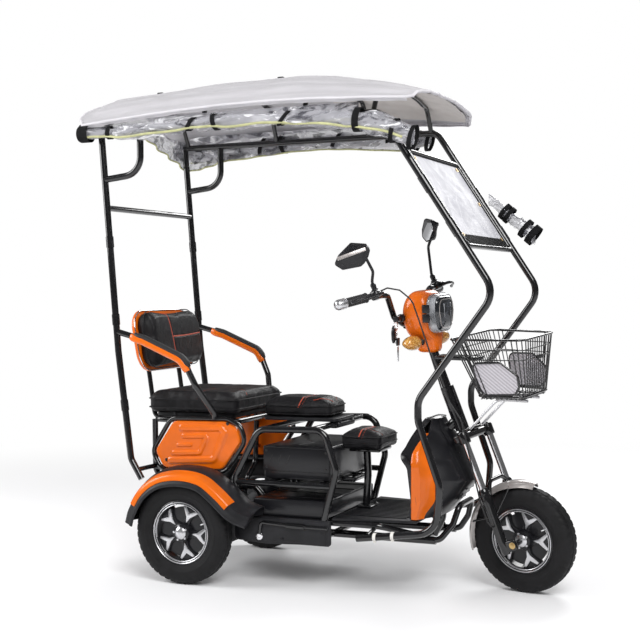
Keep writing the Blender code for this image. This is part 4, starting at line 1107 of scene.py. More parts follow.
def side_hoops():
    hoop = [(0.175, 0.2478), (0.165, 0.380), (0.262, 0.562), (0.520, 0.568), (0.566, 0.425), (0.518, 0.2478)]
    routes = []
    for side in (1, -1):
        routes.append((bent([(x, side * HOOP_Y, z) for x, z in hoop], 0.050), POST_RADIUS))
        routes.append(([(0.165, side * HOOP_Y, 0.367), (0.553, side * HOOP_Y, 0.367)], CROSS_RADIUS))
        routes.append(([(0.285, side * 0.055, 0.367), (0.560, side * 0.055, 0.367)], 0.009))
        lug = [(0.496, side * 0.084, 0.5662), (0.480, side * 0.084, 0.5662)]
        routes.append((lug, 0.010))
    for x, z in ((0.270, 0.560), (0.470, 0.566), (0.300, 0.367), (0.500, 0.367)):
        routes.append(([(x, -HOOP_Y, z), (x, HOOP_Y, z)], CROSS_RADIUS))
    routes.append(([(0.553, -0.055, 0.367), (0.553, 0.055, 0.367)], 0.009))
    routes.append(([(0.496, -0.090, 0.567), (0.496, 0.090, 0.567)], 0.006))
    dress(tubes("side_hoops_look", routes), "chassis", "gloss_black", ["side_hoops"])


def post_x(z):
    """Where the rear post is along the vehicle, at a height."""
    for (x0, z0), (x1, z1) in zip(REAR_POST, REAR_POST[1:]):
        if z <= z1:
            return mix(x0, x1, (z - z0) / (z1 - z0))
    return REAR_POST[-1][0]


ARMREST = ((post_x(0.915), POST_Y, 0.915), (-0.175, POST_Y, 0.885), (-0.010, POST_Y, 0.815),
           (0.035, 0.306, 0.720), (0.078, 0.2373, 0.608), (0.080, 0.2373, 0.590))


def armrest_route(side):
    return bent([(x, side * y, z) for x, y, z in ARMREST], 0.050)


def rear_posts():
    routes, sleeves = [], []
    for side in (1, -1):
        route = bent([(x, side * POST_Y, z) for x, z in REAR_POST], 0.050)
        route[-1] = Vector((REAR_POST[-1][0], side * POST_Y, ROOF_RAIL_Z - 0.008))
        routes.append((route, POST_RADIUS))
        hook = [(post_x(1.483), 1.483), (-0.180, 1.500), (-0.180, 1.655)]
        routes.append((bent([(x, side * POST_Y, z) for x, z in hook], 0.070), POST_RADIUS))
        routes.append((armrest_route(side), 0.0115))
        for z in (0.960, 0.640, 1.250):
            ends = [(post_x(height), side * POST_Y, height) for height in (z - 0.02, z + 0.02)]
            sleeves.append((ends, POST_RADIUS + 0.0022))
    routes.append(([(post_x(1.377), -POST_Y, 1.377), (post_x(1.377), POST_Y, 1.377)], CROSS_RADIUS))
    thing = joined("rear_posts_look", tubes("posts", routes), tubes("post_sleeves", sleeves))
    dress(thing, "chassis", "gloss_black", ["rear_posts"])


def roof_rails():
    rail = [(-0.400, POST_Y, 1.665), (0.764, POST_Y, 1.665), (0.7925, POST_Y, 1.6215)]
    routes = [(bent([(x, side * y, z) for x, y, z in rail], 0.050), POST_RADIUS) for side in (1, -1)]
    for x in BOWS:
        bow = [canopy_place(x, POST_Y * (step / 6 - 1), -0.0157) for step in range(13)]
        bow[0].z = bow[-1].z = ROOF_RAIL_Z
        routes.append((flowing(bow, 3), 0.009))
    dress(tubes("roof_frame_look", routes), "chassis", "gloss_black", ["roof_frame"])


def front_bars():
    """The bent bars at the front, with the sleeves and the slim bars that run beside them."""
    routes = []
    for side in (1, -1):
        bar = bent([(x, side * POST_Y, z) for x, z in FRONT_BAR], 0.080)
        routes.append((bar, POST_RADIUS))
        for share in (0.36, 0.62):
            middle = Vector((mix(0.7925, 1.162, share), side * POST_Y, mix(1.6215, 1.050, share)))
            slant = Vector((0.369, 0, -0.5715)).normalized() * 0.030
            routes.append(([middle - slant, middle + slant], POST_RADIUS + 0.0022))
    ties = []
    for x in (0.735, 0.800):
        z = mix(0.207, 0.245, (x - 0.668) / (0.955 - 0.668))
        ring = turned("tie", [(-0.0055, POST_RADIUS + 0.0004), (-0.0055, POST_RADIUS + 0.0018),
                              (0.0055, POST_RADIUS + 0.0018), (0.0055, POST_RADIUS + 0.0004)], 24, "X", True)
        ties.append(moved(ring, shifted(x, -POST_Y, z)))
        place = (x, -POST_Y - 0.004, z - POST_RADIUS - 0.003)
        ties.append(block("tie_lock", (0.008, 0.006, 0.007), place, 0.001))
    dress(joined("cable_ties", *ties), "chassis", "tie_white")
    corners = ((SCREEN_TOP, -1), (SCREEN_FOOT, -1), (SCREEN_FOOT, 1), (SCREEN_TOP, 1))
    loop = [(end.x, side * SCREEN_HALF, end.z) for end, side in corners]
    routes.append((bent(loop, 0.020, True), 0.009, True))
    for share in (0.06, 0.94):
        x, _, z = SCREEN_TOP.lerp(SCREEN_FOOT, share)
        for side in (1, -1):
            routes.append(([(x, side * SCREEN_HALF, z), (x, side * POST_Y, z)], 0.007))
    dress(tubes("front_frame_look", routes), "chassis", "gloss_black", ["front_frame"])


def seat_stalks():
    posts = []
    for side in (1, -1):
        path = [(-0.205, 0.578), (-0.250, 0.578), (-0.2725, 0.735), (-0.3055, 0.925)]
        posts.append((bent([(x, side * 0.115, z) for x, z in path], 0.030), 0.009))
    posts.append(([(-0.252, -0.115, 0.600), (-0.252, 0.115, 0.600)], 0.007))
    dress(tubes("backrest_posts_look", posts), "chassis", "gloss_black", ["backrest_posts"])
    post = tubes("post", [(bent([(0.582, 0, 0.265), (0.590, 0, 0.380), (0.586, 0, 0.478)], 0.040), 0.014)])
    head = block("head", (0.120, 0.130, 0.012), (0.600, 0, 0.4775), 0.004)
    foot = block("foot", (0.060, 0.090, 0.008), (0.588, 0, 0.266), 0.003)
    nuts = bolts("nuts", [((0.606, y, 0.270), (0, 0, 1), 0.006) for y in (-0.034, 0.034)])
    dress(joined("child_post_look", post, head, foot, nuts), "chassis", "gloss_black", ["child_seat_post"])


class TRICYCLE_OT_tubes(bpy.types.Operator):
    """Steel tubes of the chassis, posts, roof and seats"""

    bl_idname = "tricycle.tubes"
    bl_label = "Steel tubes"

    def execute(self, context):
        for piece in (main_rails, seat_frame, side_hoops, rear_posts, roof_rails, front_bars, seat_stalks):
            piece()
        return {"FINISHED"}


# Wheels, about their own middles: y along the axle


def tyre():
    """A tyre with a grooved tread, shoulder blocks and rings on its walls."""
    depth, blocks = sizes().tread_depth, sizes().tread_count
    half, outer, bead = TYRE_WIDTH / 2, TYRE_RADIUS, RIM_RADIUS
    profile = [
        # across, radius
        (-0.0275, bead), (-0.0310, bead + 0.004), (-0.0350, bead + 0.012), (-0.0385, bead + 0.022),
        (-0.0392, bead + 0.0235), (-0.0388, bead + 0.025), (-half, bead + 0.034), (-0.0397, bead + 0.044),
        (-0.0386, outer - 0.0190), (-0.0350, outer - 0.0110), (-0.0310, outer - 0.0062),
        (-0.0250, outer - 0.0030), (-0.0180, outer - 0.0012), (-0.0120, outer - 0.0004),
        (-0.0112, outer - 0.0004), (-0.0090, outer - 0.0002), (0.0, outer),
    ]
    profile += [(-across, radius) for across, radius in reversed(profile[:-1])]
    profile += [(0.024, bead - 0.0005), (-0.024, bead - 0.0005)]
    body = turned("tyre_body", profile, blocks * 6, "Y", True)
    for vertex in body.data.vertices:
        x, y, z = vertex.co
        radius = hypot(x, z)
        if radius < outer - 0.020:
            continue
        turn = (atan2(z, x) / (2 * pi)) % 1 * blocks
        across = abs(y) / half
        slant = 0.5 * across * (1 if y > 0 else -1)
        cut = bump((turn + slant) % 1, 0.5, 0.24) * smooth(across, 0.30, 0.42)
        middle = bump((turn * 0.5 + 0.25 * y / half) % 1, 0.5, 0.12) * (1 - smooth(across, 0.18, 0.26))
        groove = bump(across, 0.29, 0.07)
        share = 1 - depth * max(cut, groove, middle * 0.7) / radius
        vertex.co.x, vertex.co.z = x * share, z * share
    return merged(body)


def wheel():
    """Cast wheel: barrel, hub, five forked spokes; its bright parts come separately."""
    barrel = turned("barrel", [
        (-0.028, RIM_RADIUS), (-0.030, 0.1135), (-0.0285, 0.1085), (-0.022, 0.1065), (-0.016, 0.101),
        (0.016, 0.101), (0.022, 0.1065), (0.0285, 0.1085), (0.030, 0.1135), (0.028, RIM_RADIUS),
        (0.022, 0.1155), (-0.022, 0.1155),
    ], 72, "Y", True)
    hub = turned("hub", [
        (-0.032, 0.0), (-0.032, 0.026), (-0.028, 0.032), (-0.010, 0.036), (0.010, 0.036), (0.028, 0.032),
        (0.032, 0.026), (0.032, 0.0),
    ], 48, "Y")
    drum = turned("drum", [(-0.004, 0.030), (-0.006, 0.050), (-0.004, 0.092), (0.004, 0.092), (0.006, 0.050),
                           (0.004, 0.030)], 60, "Y", True)
    spoke = spoke_shape(0.0, 0.0)
    spokes = [copied(spoke, rolled(angle, "Y")) for angle in turns(SPOKES)]
    bpy.data.objects.remove(spoke)
    return joined("wheel", barrel, hub, drum, *spokes)


def spoke_shape(inset, proud):
    """One arm that forks in two at the barrel, in the wheel's plane."""
    outline = [
        (0.026, -0.016), (0.052, -0.0115), (0.070, -0.0190), (0.0850, -0.0330), (0.0960, -0.0340),
        (0.1040, -0.0300), (0.1060, 0.0), (0.1040, 0.0300), (0.0960, 0.0340), (0.0850, 0.0330),
        (0.070, 0.0190), (0.052, 0.0115), (0.026, 0.016),
    ]
    if inset:
        outline = [
            (0.038, 0.0), (0.060, -0.0072), (0.0760, -0.0200), (0.0900, -0.0300), (0.0950, -0.0230),
            (0.0860, -0.0120), (0.0760, 0.0), (0.0860, 0.0120), (0.0950, 0.0230), (0.0900, 0.0300),
            (0.0760, 0.0200), (0.060, 0.0072),
        ]
    low, high = (-0.014, 0.014) if not inset else (-0.014 - proud, -0.012)
    return plate("spoke", outline, low, high, "XZ", 0.0022 if not inset else 0.0008, 2)


def wheel_bright(outward):
    """Polished faces of the spokes, the ring round the rim, the cap and the valve."""
    face = spoke_shape(1, 0.0022)
    parts = [copied(face, rolled(angle, "Y")) for angle in turns(SPOKES)]
    bpy.data.objects.remove(face)
    rim_ring = [(-0.0305, 0.1125), (-0.0312, 0.1105), (-0.0298, 0.1088), (-0.0288, 0.1100)]
    parts.append(turned("rim_ring", rim_ring, 72, "Y", True))
    inner_ring = [(-0.0292, 0.1050), (-0.0298, 0.1036), (-0.0290, 0.1022), (-0.0282, 0.1036)]
    parts.append(turned("inner_ring", inner_ring, 72, "Y", True))
    between = [angle + pi / SPOKES for angle in turns(SPOKES)]
    for middle in between:
        arc = [Vector((0.1035 * cos(middle + step * 0.045), -0.0225, 0.1035 * sin(middle + step * 0.045)))
               for step in range(-7, 8)]
        parts.append(tubes("arc", [(arc, 0.0013)], 6))
    parts.append(turned("cap", [(-0.0400, 0.0), (-0.0400, 0.010), (-0.0370, 0.0165), (-0.0322, 0.0225),
                                (-0.0322, 0.0)], 36, "Y"))
    parts.append(tubes("valve", [([(0.090, -0.020, 0.048), (0.078, -0.030, 0.042)], 0.0026)], 6))
    nuts = [((0.0258 * cos(angle), -0.0325, 0.0258 * sin(angle)), (0, -1, 0), 0.0030) for angle in between]
    parts.append(bolts("hub_nuts", nuts))
    bright = joined("wheel_bright", *parts)
    return bright if outward < 0 else moved(bright, MIRROR)


class TRICYCLE_OT_wheels(bpy.types.Operator):
    """Tyres with tread, cast wheels and their bright faces"""

    bl_idname = "tricycle.wheels"
    bl_label = "Wheels"

    def execute(self, context):
        front = STEERING @ Matrix.Translation(FRONT_AXLE)
        rear = {side: PLACED @ shifted(0, side * TRACK / 2, TYRE_RADIUS) for side in (-1, 1)}
        sets = (
            # name, body, place, side that shows
            ("front", "front_wheel", front, -1),
            ("rear_right", "rear_wheel_right", rear[-1], -1),
            ("rear_left", "rear_wheel_left", rear[1], 1),
        )
        rubber, cast = tyre(), wheel()
        for name, body, place, side in sets:
            start = rolled(0.35 if name == "front" else 0.1, "Y")
            twin = copied(rubber, place @ start, f"{name}_tyre_look")
            dress(twin, body, "tyre_rubber", [f"{name}_tyre"], 50)
            twin = copied(cast, place @ start, f"{name}_wheel_look")
            dress(twin, body, "satin_black", [f"{name}_rim"], 40)
            bright = moved(wheel_bright(side), place @ start)
            bright.name = f"{name}_wheel_bright"
            dress(bright, body, "brushed_silver", angle=40)
        for thing in (rubber, cast):
            bpy.data.objects.remove(thing)
        return {"FINISHED"}


# Axle, motor, casings and boxes


def axle_and_motor():
    parts = [tubes("axle_tube", [([(0, -0.299, TYRE_RADIUS), (0, 0.299, TYRE_RADIUS)], 0.022)])]
    for side in (1, -1):
        drum = turned("drum", [(0.258, 0.0), (0.258, 0.040), (0.266, 0.052), (0.269, 0.056), (0.296, 0.056),
                               (0.2988, 0.050), (0.2988, 0.0)], 48, "Y")
        stub = turned("stub", [(0.2990, 0.0), (0.2990, 0.012), (0.3030, 0.010), (0.3470, 0.010),
                               (0.3470, 0.0)], 24, "Y")
        both = moved(joined("drum", drum, stub), shifted(z=TYRE_RADIUS))
        parts.append(both if side > 0 else moved(both, MIRROR))
    dress(joined("rear_axle_look", *parts), "chassis", "motor_casting", ["rear_axle"])
    profile = [(-0.075, 0.0), (-0.075, 0.050), (-0.075, 0.068), (-0.070, 0.078), (-0.056, 0.094),
               (-0.050, 0.0965)]
    fins = [(-0.046, 0.100), (-0.042, 0.100), (-0.040, 0.0955), (-0.034, 0.0955), (-0.032, 0.100),
            (-0.028, 0.100), (-0.026, 0.0955), (-0.020, 0.0955), (-0.018, 0.100), (-0.014, 0.100),
            (-0.012, 0.0955), (-0.006, 0.0955), (-0.004, 0.100), (0.0, 0.100)]
    half = profile + fins
    motor = turned("motor", half + [(-y, radius) for y, radius in reversed(half[:-1])], 60, "Y")
    moved(motor, shifted(z=TYRE_RADIUS))
    gearbox = block("gearbox", (0.120, 0.090, 0.110), (0.075, 0, TYRE_RADIUS), 0.014)
    screws = []
    for angle in turns(6):
        place = (0.060 * cos(angle), -0.0755, TYRE_RADIUS + 0.060 * sin(angle))
        screws.append((place, (0, -1, 0), 0.0045))
    screws = bolts("motor_screws", screws)
    unit = joined("drive_unit_look", motor, gearbox, screws)
    dress(unit, "chassis", "motor_casting", ["drive_unit"])


CASING = (
    (0.165, 0.170), (0.175, 0.158), (0.300, 0.150), (0.430, 0.156), (0.545, 0.156), (0.545, 0.2468),
    (0.165, 0.2468),
)


def casings():
    """Side casings with an inset line, the tool box and the battery box."""
    shell = plate("casing", flat_outline(CASING, 0.012), 0.2463, 0.2620, "XZ", 0.004, 3)
    inner = pushed_out(CASING, -0.016, (0.355, 0.200))
    step = plate("casing_step", flat_outline(inner, 0.008), 0.2600, 0.2638, "XZ", 0.0016, 2)
    spots = ((0.200, 0.205), (0.515, 0.200), (0.360, 0.172))
    screws = bolts("casing_screws", [((x, 0.2640, z), (0, 1, 0), 0.0045) for x, z in spots])
    whole = joined("lower_casing", shell, step, screws)
    dress_pair(whole, "lower_casing", "chassis", "moulded_black", "lower_casing")
    bar = bent([(0.272, 0.268, 0.186), (0.276, 0.268, 0.229), (0.420, 0.268, 0.222), (0.540, 0.268, 0.222)],
               0.014)
    sleeve = tubes("sleeve", [([(0.380, 0.268, 0.2235), (0.450, 0.268, 0.2222)], 0.0100)])
    lever = joined("lever_bar", tubes("bar", [(bar, 0.0068)]), sleeve)
    dress_pair(lever, "lever_bar", "chassis", "gloss_black", angle=50)
    pivot = turned("pivot", [(0.262, 0.0), (0.262, 0.014), (0.269, 0.014), (0.2705, 0.012), (0.2705, 0.006),
                             (0.2690, 0.005), (0.2690, 0.0)], 32, "Y")
    dress_pair(moved(pivot, shifted(0.270, 0, 0.178)), "lever_pivot", "chassis", "bright_chrome", angle=40)
    box = block("tool_box_look", (0.290, 0.472, 0.062), (0.375, 0, 0.2788), 0.006)
    seam = block("tool_lid", (0.284, 0.466, 0.008), (0.375, 0, 0.3060), 0.003)
    lid_lines = [block("rib", (0.270, 0.004, 0.003), (0.375, y, 0.3108), 0.001)
                 for y in (-0.18, -0.06, 0.06, 0.18)]
    dress(joined("tool_box_look", box, seam, *lid_lines), "chassis", "satin_black", ["tool_box"])
    box = block("battery", (0.260, 0.404, 0.122), (0.390, 0, 0.4378), 0.008)
    sides = [block("side", (0.2600, 0.004, 0.084), (0.390, side * 0.2035, 0.4490), 0.0016)
             for side in (-1, 1)]
    lip = block("lip", (0.2600, 0.4130, 0.006), (0.390, 0, 0.4940), 0.002)
    dress(joined("battery_box_look", box, lip, *sides), "chassis", "satin_black", ["battery_box"])
    slots = []
    for side in (-1, 1):
        for x in (0.290, 0.325, 0.360):
            slot = block("slot", (0.0035, 0.0016, 0.034), (0, 0, 0), 0.0007)
            lean = Matrix.Translation((x, side * 0.2058, 0.452)) @ Matrix.Rotation(0.42, 4, "Y")
            slots.append(moved(slot, lean))
    screws = bolts("cover_screws", [((x, side * 0.2055, z), (0, side, 0), 0.0035) for side in (-1, 1)
                                    for x in (0.272, 0.508) for z in (0.420, 0.480)])
    dress(joined("battery_slots", screws, *slots), "chassis", "cable_black")


def floor_plate():
    """The ribbed footboard with a sill at its front."""
    outline = [(0.545, -0.248), (0.845, -0.200), (0.845, 0.200), (0.545, 0.248)]
    deck = plate("footboard_look", outline, 0.2478, 0.2578, "XY", 0.003, 3)
    parts = [deck]
    for index in range(15):
        y = (index - 7) * 0.0245
        reach = 0.810 if abs(y) < 0.10 else 0.800
        middle = ((reach + 0.562) / 2, y, 0.2588)
        parts.append(block("rib", (reach - 0.562, 0.0085, 0.006), middle, 0.0018, 2))
    parts.append(block("sill", (0.026, 0.356, 0.0058), (0.831, 0, 0.2588), 0.0018))
    dress(joined("footboard_look", *parts), "chassis", "moulded_black", ["footboard"])


class TRICYCLE_OT_underbody(bpy.types.Operator):
    """Axle, motor, casings, boxes and the footboard"""

    bl_idname = "tricycle.underbody"
    bl_label = "Underbody"

    def execute(self, context):
        axle_and_motor()
        casings()
        floor_plate()
        return {"FINISHED"}


# Orange and black body panels


def side_panels():
    """Orange panels behind the driver, pressed with two open loops and a bar."""
    centre = Vector((0.0, 0.0, 0.500))
    outline = [Vector((x, 0, z)) for x, z in flat_outline(PANEL_OUTLINE, 0.028, 8)]
    outline = finer_ring(outline, 200)
    rims = [(1.0, 0.0), (1.0, 0.008), (0.992, 0.0115), (0.975, 0.0135)]
    rims += [(0.975 * (1 - step / 44), 0.0140) for step in range(1, 44)]
    rings = []
    for scale, height in rims:
        ring = []
        for place in outline:
            spot = centre + (place - centre) * scale
            spot.y = 0.213 + height + (pressing(spot.x, spot.z) if scale < 0.975 else 0.0)
            ring.append(spot)
        rings.append(ring)
    panel = merged(capped("side_panel", rings))
    bosses = tubes("bosses", [([(0.034, 0.2013, z), (0.034, 0.214, z)], 0.009) for z in (0.440, 0.530)])
    whole = joined("side_panel", panel, bosses)
    dress_pair(whole, "side_panel", "chassis", "orange_paint", "side_panel", 40)
    screws = bolts("panel_screws",
                   [((x, 0.2270, z), (0, 1, 0), 0.0045) for x, z in ((-0.135, 0.430), (0.125, 0.575))])
    dress_pair(screws, "panel_screws", "chassis", "cable_black")


PRESSED_LOOPS = (
    # half width of the ridge, height, the line that it follows
    (0.0150, 0.0060, ((-0.068, 0.552), (0.096, 0.558), (0.112, 0.540), (0.070, 0.446), (0.060, 0.438),
                      (-0.118, 0.428))),
    (0.0110, 0.0052, ((-0.060, 0.522), (0.030, 0.526), (0.036, 0.519), (0.010, 0.466), (0.003, 0.462),
                      (-0.104, 0.457))),
    (0.0080, 0.0040, ((-0.084, 0.488), (-0.030, 0.491))),
)


def pressing(x, z):
    """How far the pressed loops stand out of the panel."""
    place, out = Vector((x, z)), 0.0
    for half, height, line in PRESSED_LOOPS:
        away = min(distance_to(place, Vector(a), Vector(b)) for a, b in zip(line, line[1:]))
        out = max(out, height * (1 - smooth(away, half * 0.45, half)))
    return out


def distance_to(place, start, end):
    along = end - start
    share = clamp((place - start).dot(along) / along.length_squared)
    return (place - start - along * share).length


FENDER_PATH = (
    (-0.236, 0.218), (-0.218, 0.272), (-0.170, 0.345), (-0.095, 0.395), (0.0, 0.412), (0.095, 0.398),
    (0.165, 0.352), (0.230, 0.297), (0.290, 0.276),
)


def fender_rings(path, profile):
    """Rings of a curved shell: profile points are (out, across) from the path."""
    rings = []
    for index, point in enumerate(path):
        ahead = path[min(index + 1, len(path) - 1)] - path[max(index - 1, 0)]
        out = Vector((-ahead.z, 0, ahead.x)).normalized()
        rings.append([point + out * a + Vector((0, b, 0)) for a, b in profile])
    return rings


def rear_fenders():
    """Black wings over the rear wheels and the orange bands round their edges."""
    path = flowing([(x, 0, z) for x, z in FENDER_PATH], 7)
    inner = [(-0.020, 0.2628), (0.003, 0.2628), (0.010, 0.2660), (0.0140, 0.290), (0.0120, 0.315),
             (0.0050, 0.336), (-0.0010, 0.3460), (-0.0060, 0.3640), (-0.0120, 0.3800), (-0.0250, 0.3850),
             (-0.0330, 0.3870), (-0.0400, 0.3945), (-0.0480, 0.396)]
    wall = 0.004
    section = inner + [(out - wall, max(0.2668, side - wall * 0.6)) for out, side in reversed(inner)]
    shell = merged(capped("rear_fender", fender_rings(path, section)))
    dress_pair(shell, "rear_fender", "chassis", "moulded_black", "rear_fender", 45)
    profile = [(-0.0010, 0.3455), (0.0022, 0.3490), (-0.0030, 0.3650), (-0.0095, 0.3822), (-0.0150, 0.3868),
               (-0.0300, 0.3885), (-0.0322, 0.3862), (-0.0245, 0.3845), (-0.0125, 0.3790), (-0.0065, 0.3635)]
    band = merged(capped("fender_band", fender_rings(path[9:-9], profile)))
    dress_pair(band, "fender_band", "chassis", "orange_paint", "fender_band", 50)


def shield_row(share):
    """Height, rear face, half width and nose of the leg shield; it leans forward above the knee notch."""
    z = 0.262 + 0.343 * share
    half = 0.200 if share < 0.55 else 0.200 - 0.120 * ((share - 0.55) / 0.45) ** 1.5
    set_in = 0.012 * smooth(share, 0.06, 0.14) * (1 - smooth(share, 0.50, 0.60))
    knee, lean = 0.010 * bump(share, 0.64, 0.10), 0.060 * clamp((share - 0.66) / 0.34) ** 1.4
    rear = 0.832 - 0.040 * share + set_in - knee + lean
    nose = min(0.905 + 0.85 * (z - 0.262), 1.010 - 0.52 * abs(z - 0.386) ** 1.02)
    return z, rear, half, nose - 0.014 * smooth(share, 0.75, 0.97)


def band_edge(z):
    """Where the orange edge starts, and how far it reaches ahead: it runs out in a point at the top."""
    start = 0.8290 + 0.0320 * clamp((z - 0.485) / 0.070) ** 1.3
    width = 0.034 + 0.032 * smooth(z, 0.262, 0.330) - 0.060 * clamp((z - 0.400) / 0.144) ** 1.5
    return start, max(0.005, width)


def leg_shield():
    """Black back of the shield, the orange edge round it and the black cover ahead."""

    def face(u, v):
        z, rear, half, _ = shield_row(v)
        side = 2 * u - 1
        hollow = 0.006 * (1 - abs(side) ** 3) * smooth(v, 0.02, 0.2) * (1 - smooth(v, 0.8, 1.0))
        ridge = 0.003 * bump(abs(side), 0.62, 0.10) * smooth(v, 0.06, 0.2)
        return rear - 0.012 + hollow - ridge, side * half, z

    back = bevelled(wrapped("back", 48, 44, face, thickness=-0.020), 0.003, 2)
    dress(back, "chassis", "satin_black", ["leg_shield"])
    bands, cheeks = [], []
    for step in range(35):
        share = step / 34 * 0.86
        z, rear, half, _ = shield_row(share)
        start, wide = band_edge(z)
        outer = [(start, half + 0.0030), (start + 0.46 * wide, half + 0.0020 - 0.03 * wide),
                 (start + 0.66 * wide, half - 0.30 * wide), (start + wide, half - 0.003 - 0.85 * wide)]
        inner = [(x - 0.004, y - 0.004) for x, y in reversed(outer)]
        bands.append([Vector((x, y, z)) for x, y in outer + inner])
        ahead = max(start + 0.004, rear - 0.001)
        cheek = [(rear - 0.002, half - 0.0005), (ahead, half - 0.0020), (ahead, half - 0.006),
                 (rear - 0.002, half - 0.006)]
        cheeks.append([Vector((x, y, z)) for x, y in cheek])
    band = merged(capped("shield_band", bands))
    dress_pair(band, "shield_band", "chassis", "orange_paint", "shield_band", 50)
    dress_pair(merged(capped("shield_cheek", cheeks)), "shield_cheek", "chassis", "satin_black", angle=50)

    def front(u, v):
        z, rear, half, nose = shield_row(v)
        side = 2 * u - 1
        start, wide = band_edge(z)
        start = max(start + wide - 0.001, rear + 0.012)
        edge_y = half - 0.003 - 0.85 * wide
        bulge = (1 - abs(side) ** mix(2.4, 1.4, smooth(v, 0.6, 0.95))) * max(0.010, nose - start)
        crease = 0.004 * bump(abs(side), 0.45, 0.08) * smooth(v, 0.1, 0.4)
        return start + bulge - crease, edge_y * side, z

    cover = wrapped("front_cover_look", 64, 44, front, thickness=0.005)
    slats = []
    for z in (0.318, 0.336, 0.354):
        nose = shield_row((z - 0.262) / 0.343)[3]
        slats.append(block("slat", (0.006, 0.090, 0.007), (nose - 0.0035, 0, z), 0.002))

    def crest(u, v):
        z, rear, half, nose = shield_row(1.0)
        side = 2 * u - 1
        start = rear - 0.010
        end = rear + 0.014 + (1 - abs(side) ** 2.4) * max(0.010, nose - rear - 0.014)
        return mix(start, end, v), side * half * 0.97, z - 0.002 + 0.008 * sin(pi * v) * (1 - side ** 2)

    lid = wrapped("crest", 40, 12, crest, thickness=0.004)
    dress(joined("front_cover_look", cover, lid, *slats), "chassis", "satin_black", ["front_cover"], 40)


class TRICYCLE_OT_panels(bpy.types.Operator):
    """Side panels, rear wings and the leg shield"""

    bl_idname = "tricycle.panels"
    bl_label = "Body panels"

    def execute(self, context):
        side_panels()
        rear_fenders()
        leg_shield()
        return {"FINISHED"}


# Seats


def swell(thing, cap, sideways=0.35):
    """Inflate the cover as cloth; it moves at most cap, less sideways, and not below its base."""
    before = [vertex.co.copy() for vertex in thing.data.vertices]
    base = min(place.z for place in before)
    cover = thing.modifiers.new("cover", "CLOTH")
    cover.settings.use_pressure = True
    cover.settings.uniform_pressure_force = 4.0
    cover.settings.effector_weights.gravity = 0.0
    scene = bpy.context.scene
    for step in range(1, 21):
        scene.frame_set(step)
    applied(thing)
    for vertex, start in zip(thing.data.vertices, before):
        shift = vertex.co - start
        shift.x, shift.y = shift.x * sideways, shift.y * sideways
        if shift.length > cap:
            shift *= cap / shift.length
        vertex.co = start + shift
        vertex.co.z = max(vertex.co.z, base)
    scene.frame_set(1)


def cushion(name, outline, height, edge, tuck=0.006, crown=0.0, voxel=0.0065):
    """A stuffed pad on z = 0: sides pulled in between its corners and a crowned top."""
    thing = plate(name, outline, 0.0, height, "XY", edge, 5)
    remesh = thing.modifiers.new("remesh", "REMESH")
    remesh.mode = "VOXEL"
    remesh.voxel_size = voxel
    applied(thing)
    reach_x = max(abs(x) for x, y in outline)
    reach_y = max(abs(y) for x, y in outline)
    swell(thing, sizes().cushion_swell)
    subdivided(thing)
    normals = [vertex.normal.copy() for vertex in thing.data.vertices]
    for vertex, normal in zip(thing.data.vertices, normals):
        x, y, z = vertex.co
        u, v = clamp(abs(x) / reach_x), clamp(abs(y) / reach_y)
        vertex.co.z += crown * (1 - u ** 4) * (1 - v ** 4) * smooth(z, height * 0.5, height)
        vertex.co.x *= 1 - tuck / reach_x * (1 - v ** 3) * smooth(u, 0.6, 1.0)
        vertex.co.y *= 1 - tuck / reach_y * (1 - u ** 3) * smooth(v, 0.6, 1.0)
        crease = 0.0009 * ripple(x * 26, y * 26, z * 26) + 0.0007 * ripple(x * 40, y * 14, z * 30)
        vertex.co += normal * crease
    return thing


def rounded(half_x, half_y, corner, steps=8):
    corners = [(half_x, half_y), (-half_x, half_y), (-half_x, -half_y), (half_x, -half_y)]
    return flat_outline(corners, corner, steps)


def channel(thing, route, depth, width):
    """Press a sewn line into the top along a route of (x, y)."""
    line = finer([Vector((x, y, 0)) for x, y in route], 0.002)
    tree = KDTree(len(line))
    for index, point in enumerate(line):
        tree.insert(point, index)
    tree.balance()
    normals = [vertex.normal.z for vertex in thing.data.vertices]
    for vertex, facing in zip(thing.data.vertices, normals):
        if facing < 0.2:
            continue
        nearest = tree.find((vertex.co.x, vertex.co.y, 0))[2]
        if nearest < width:
            vertex.co.z -= depth * bump(nearest, 0.0, width) * smooth(facing, 0.2, 0.6)


def laid_on(thing, route, lift=0.0, count=40):
    """The places where a route of (x, y) meets the top of a piece."""
    bpy.context.view_layer.update()
    line = [Vector((x, y, 0)) for x, y in route]
    places = []
    for step in range(count + 1):
        start = along(line, step / count)
        hit, place, _, _ = thing.ray_cast((start.x, start.y, 1.0), (0, 0, -1))
        if hit:
            places.append(place + Vector((0, 0, lift)))
    return places


def rim_route(outline, inset, z):
    scale = 1 - inset / max(abs(x) for x, y in outline)
    return [Vector((x * scale, y * scale, z)) for x, y in outline]


def sewn(thing, name, bands, seams):
    """Thread and ribbons on a pad: bands are wide red lines, seams are pressed and stitched."""
    for route in bands + seams:
        channel(thing, flowing_flat(route), 0.0022, 0.007)
    lines = [laid_on(thing, flowing_flat(route), 0.0002) for route in bands]
    stitches = []
    for route in seams:
        line = laid_on(thing, flowing_flat(route), 0.0004)
        stitches += [(line[start:start + 2], 0.0008) for start in range(0, len(line) - 1, 2)]
    parts = [flattened(tubes(name, [(line, 0.0027)], 4), line) for line in lines]
    if stitches:
        parts.append(tubes(name, stitches, 3))
    return joined(name, *parts)


def flattened(thing, line):
    for vertex in thing.data.vertices:
        near = min(line, key=lambda point: (point - vertex.co).length_squared)
        vertex.co.z = near.z + (vertex.co.z - near.z) * 0.45
    return thing


def flowing_flat(route):
    return [(p.x, p.y) for p in flowing([(x, y, 0) for x, y in route], 6)]


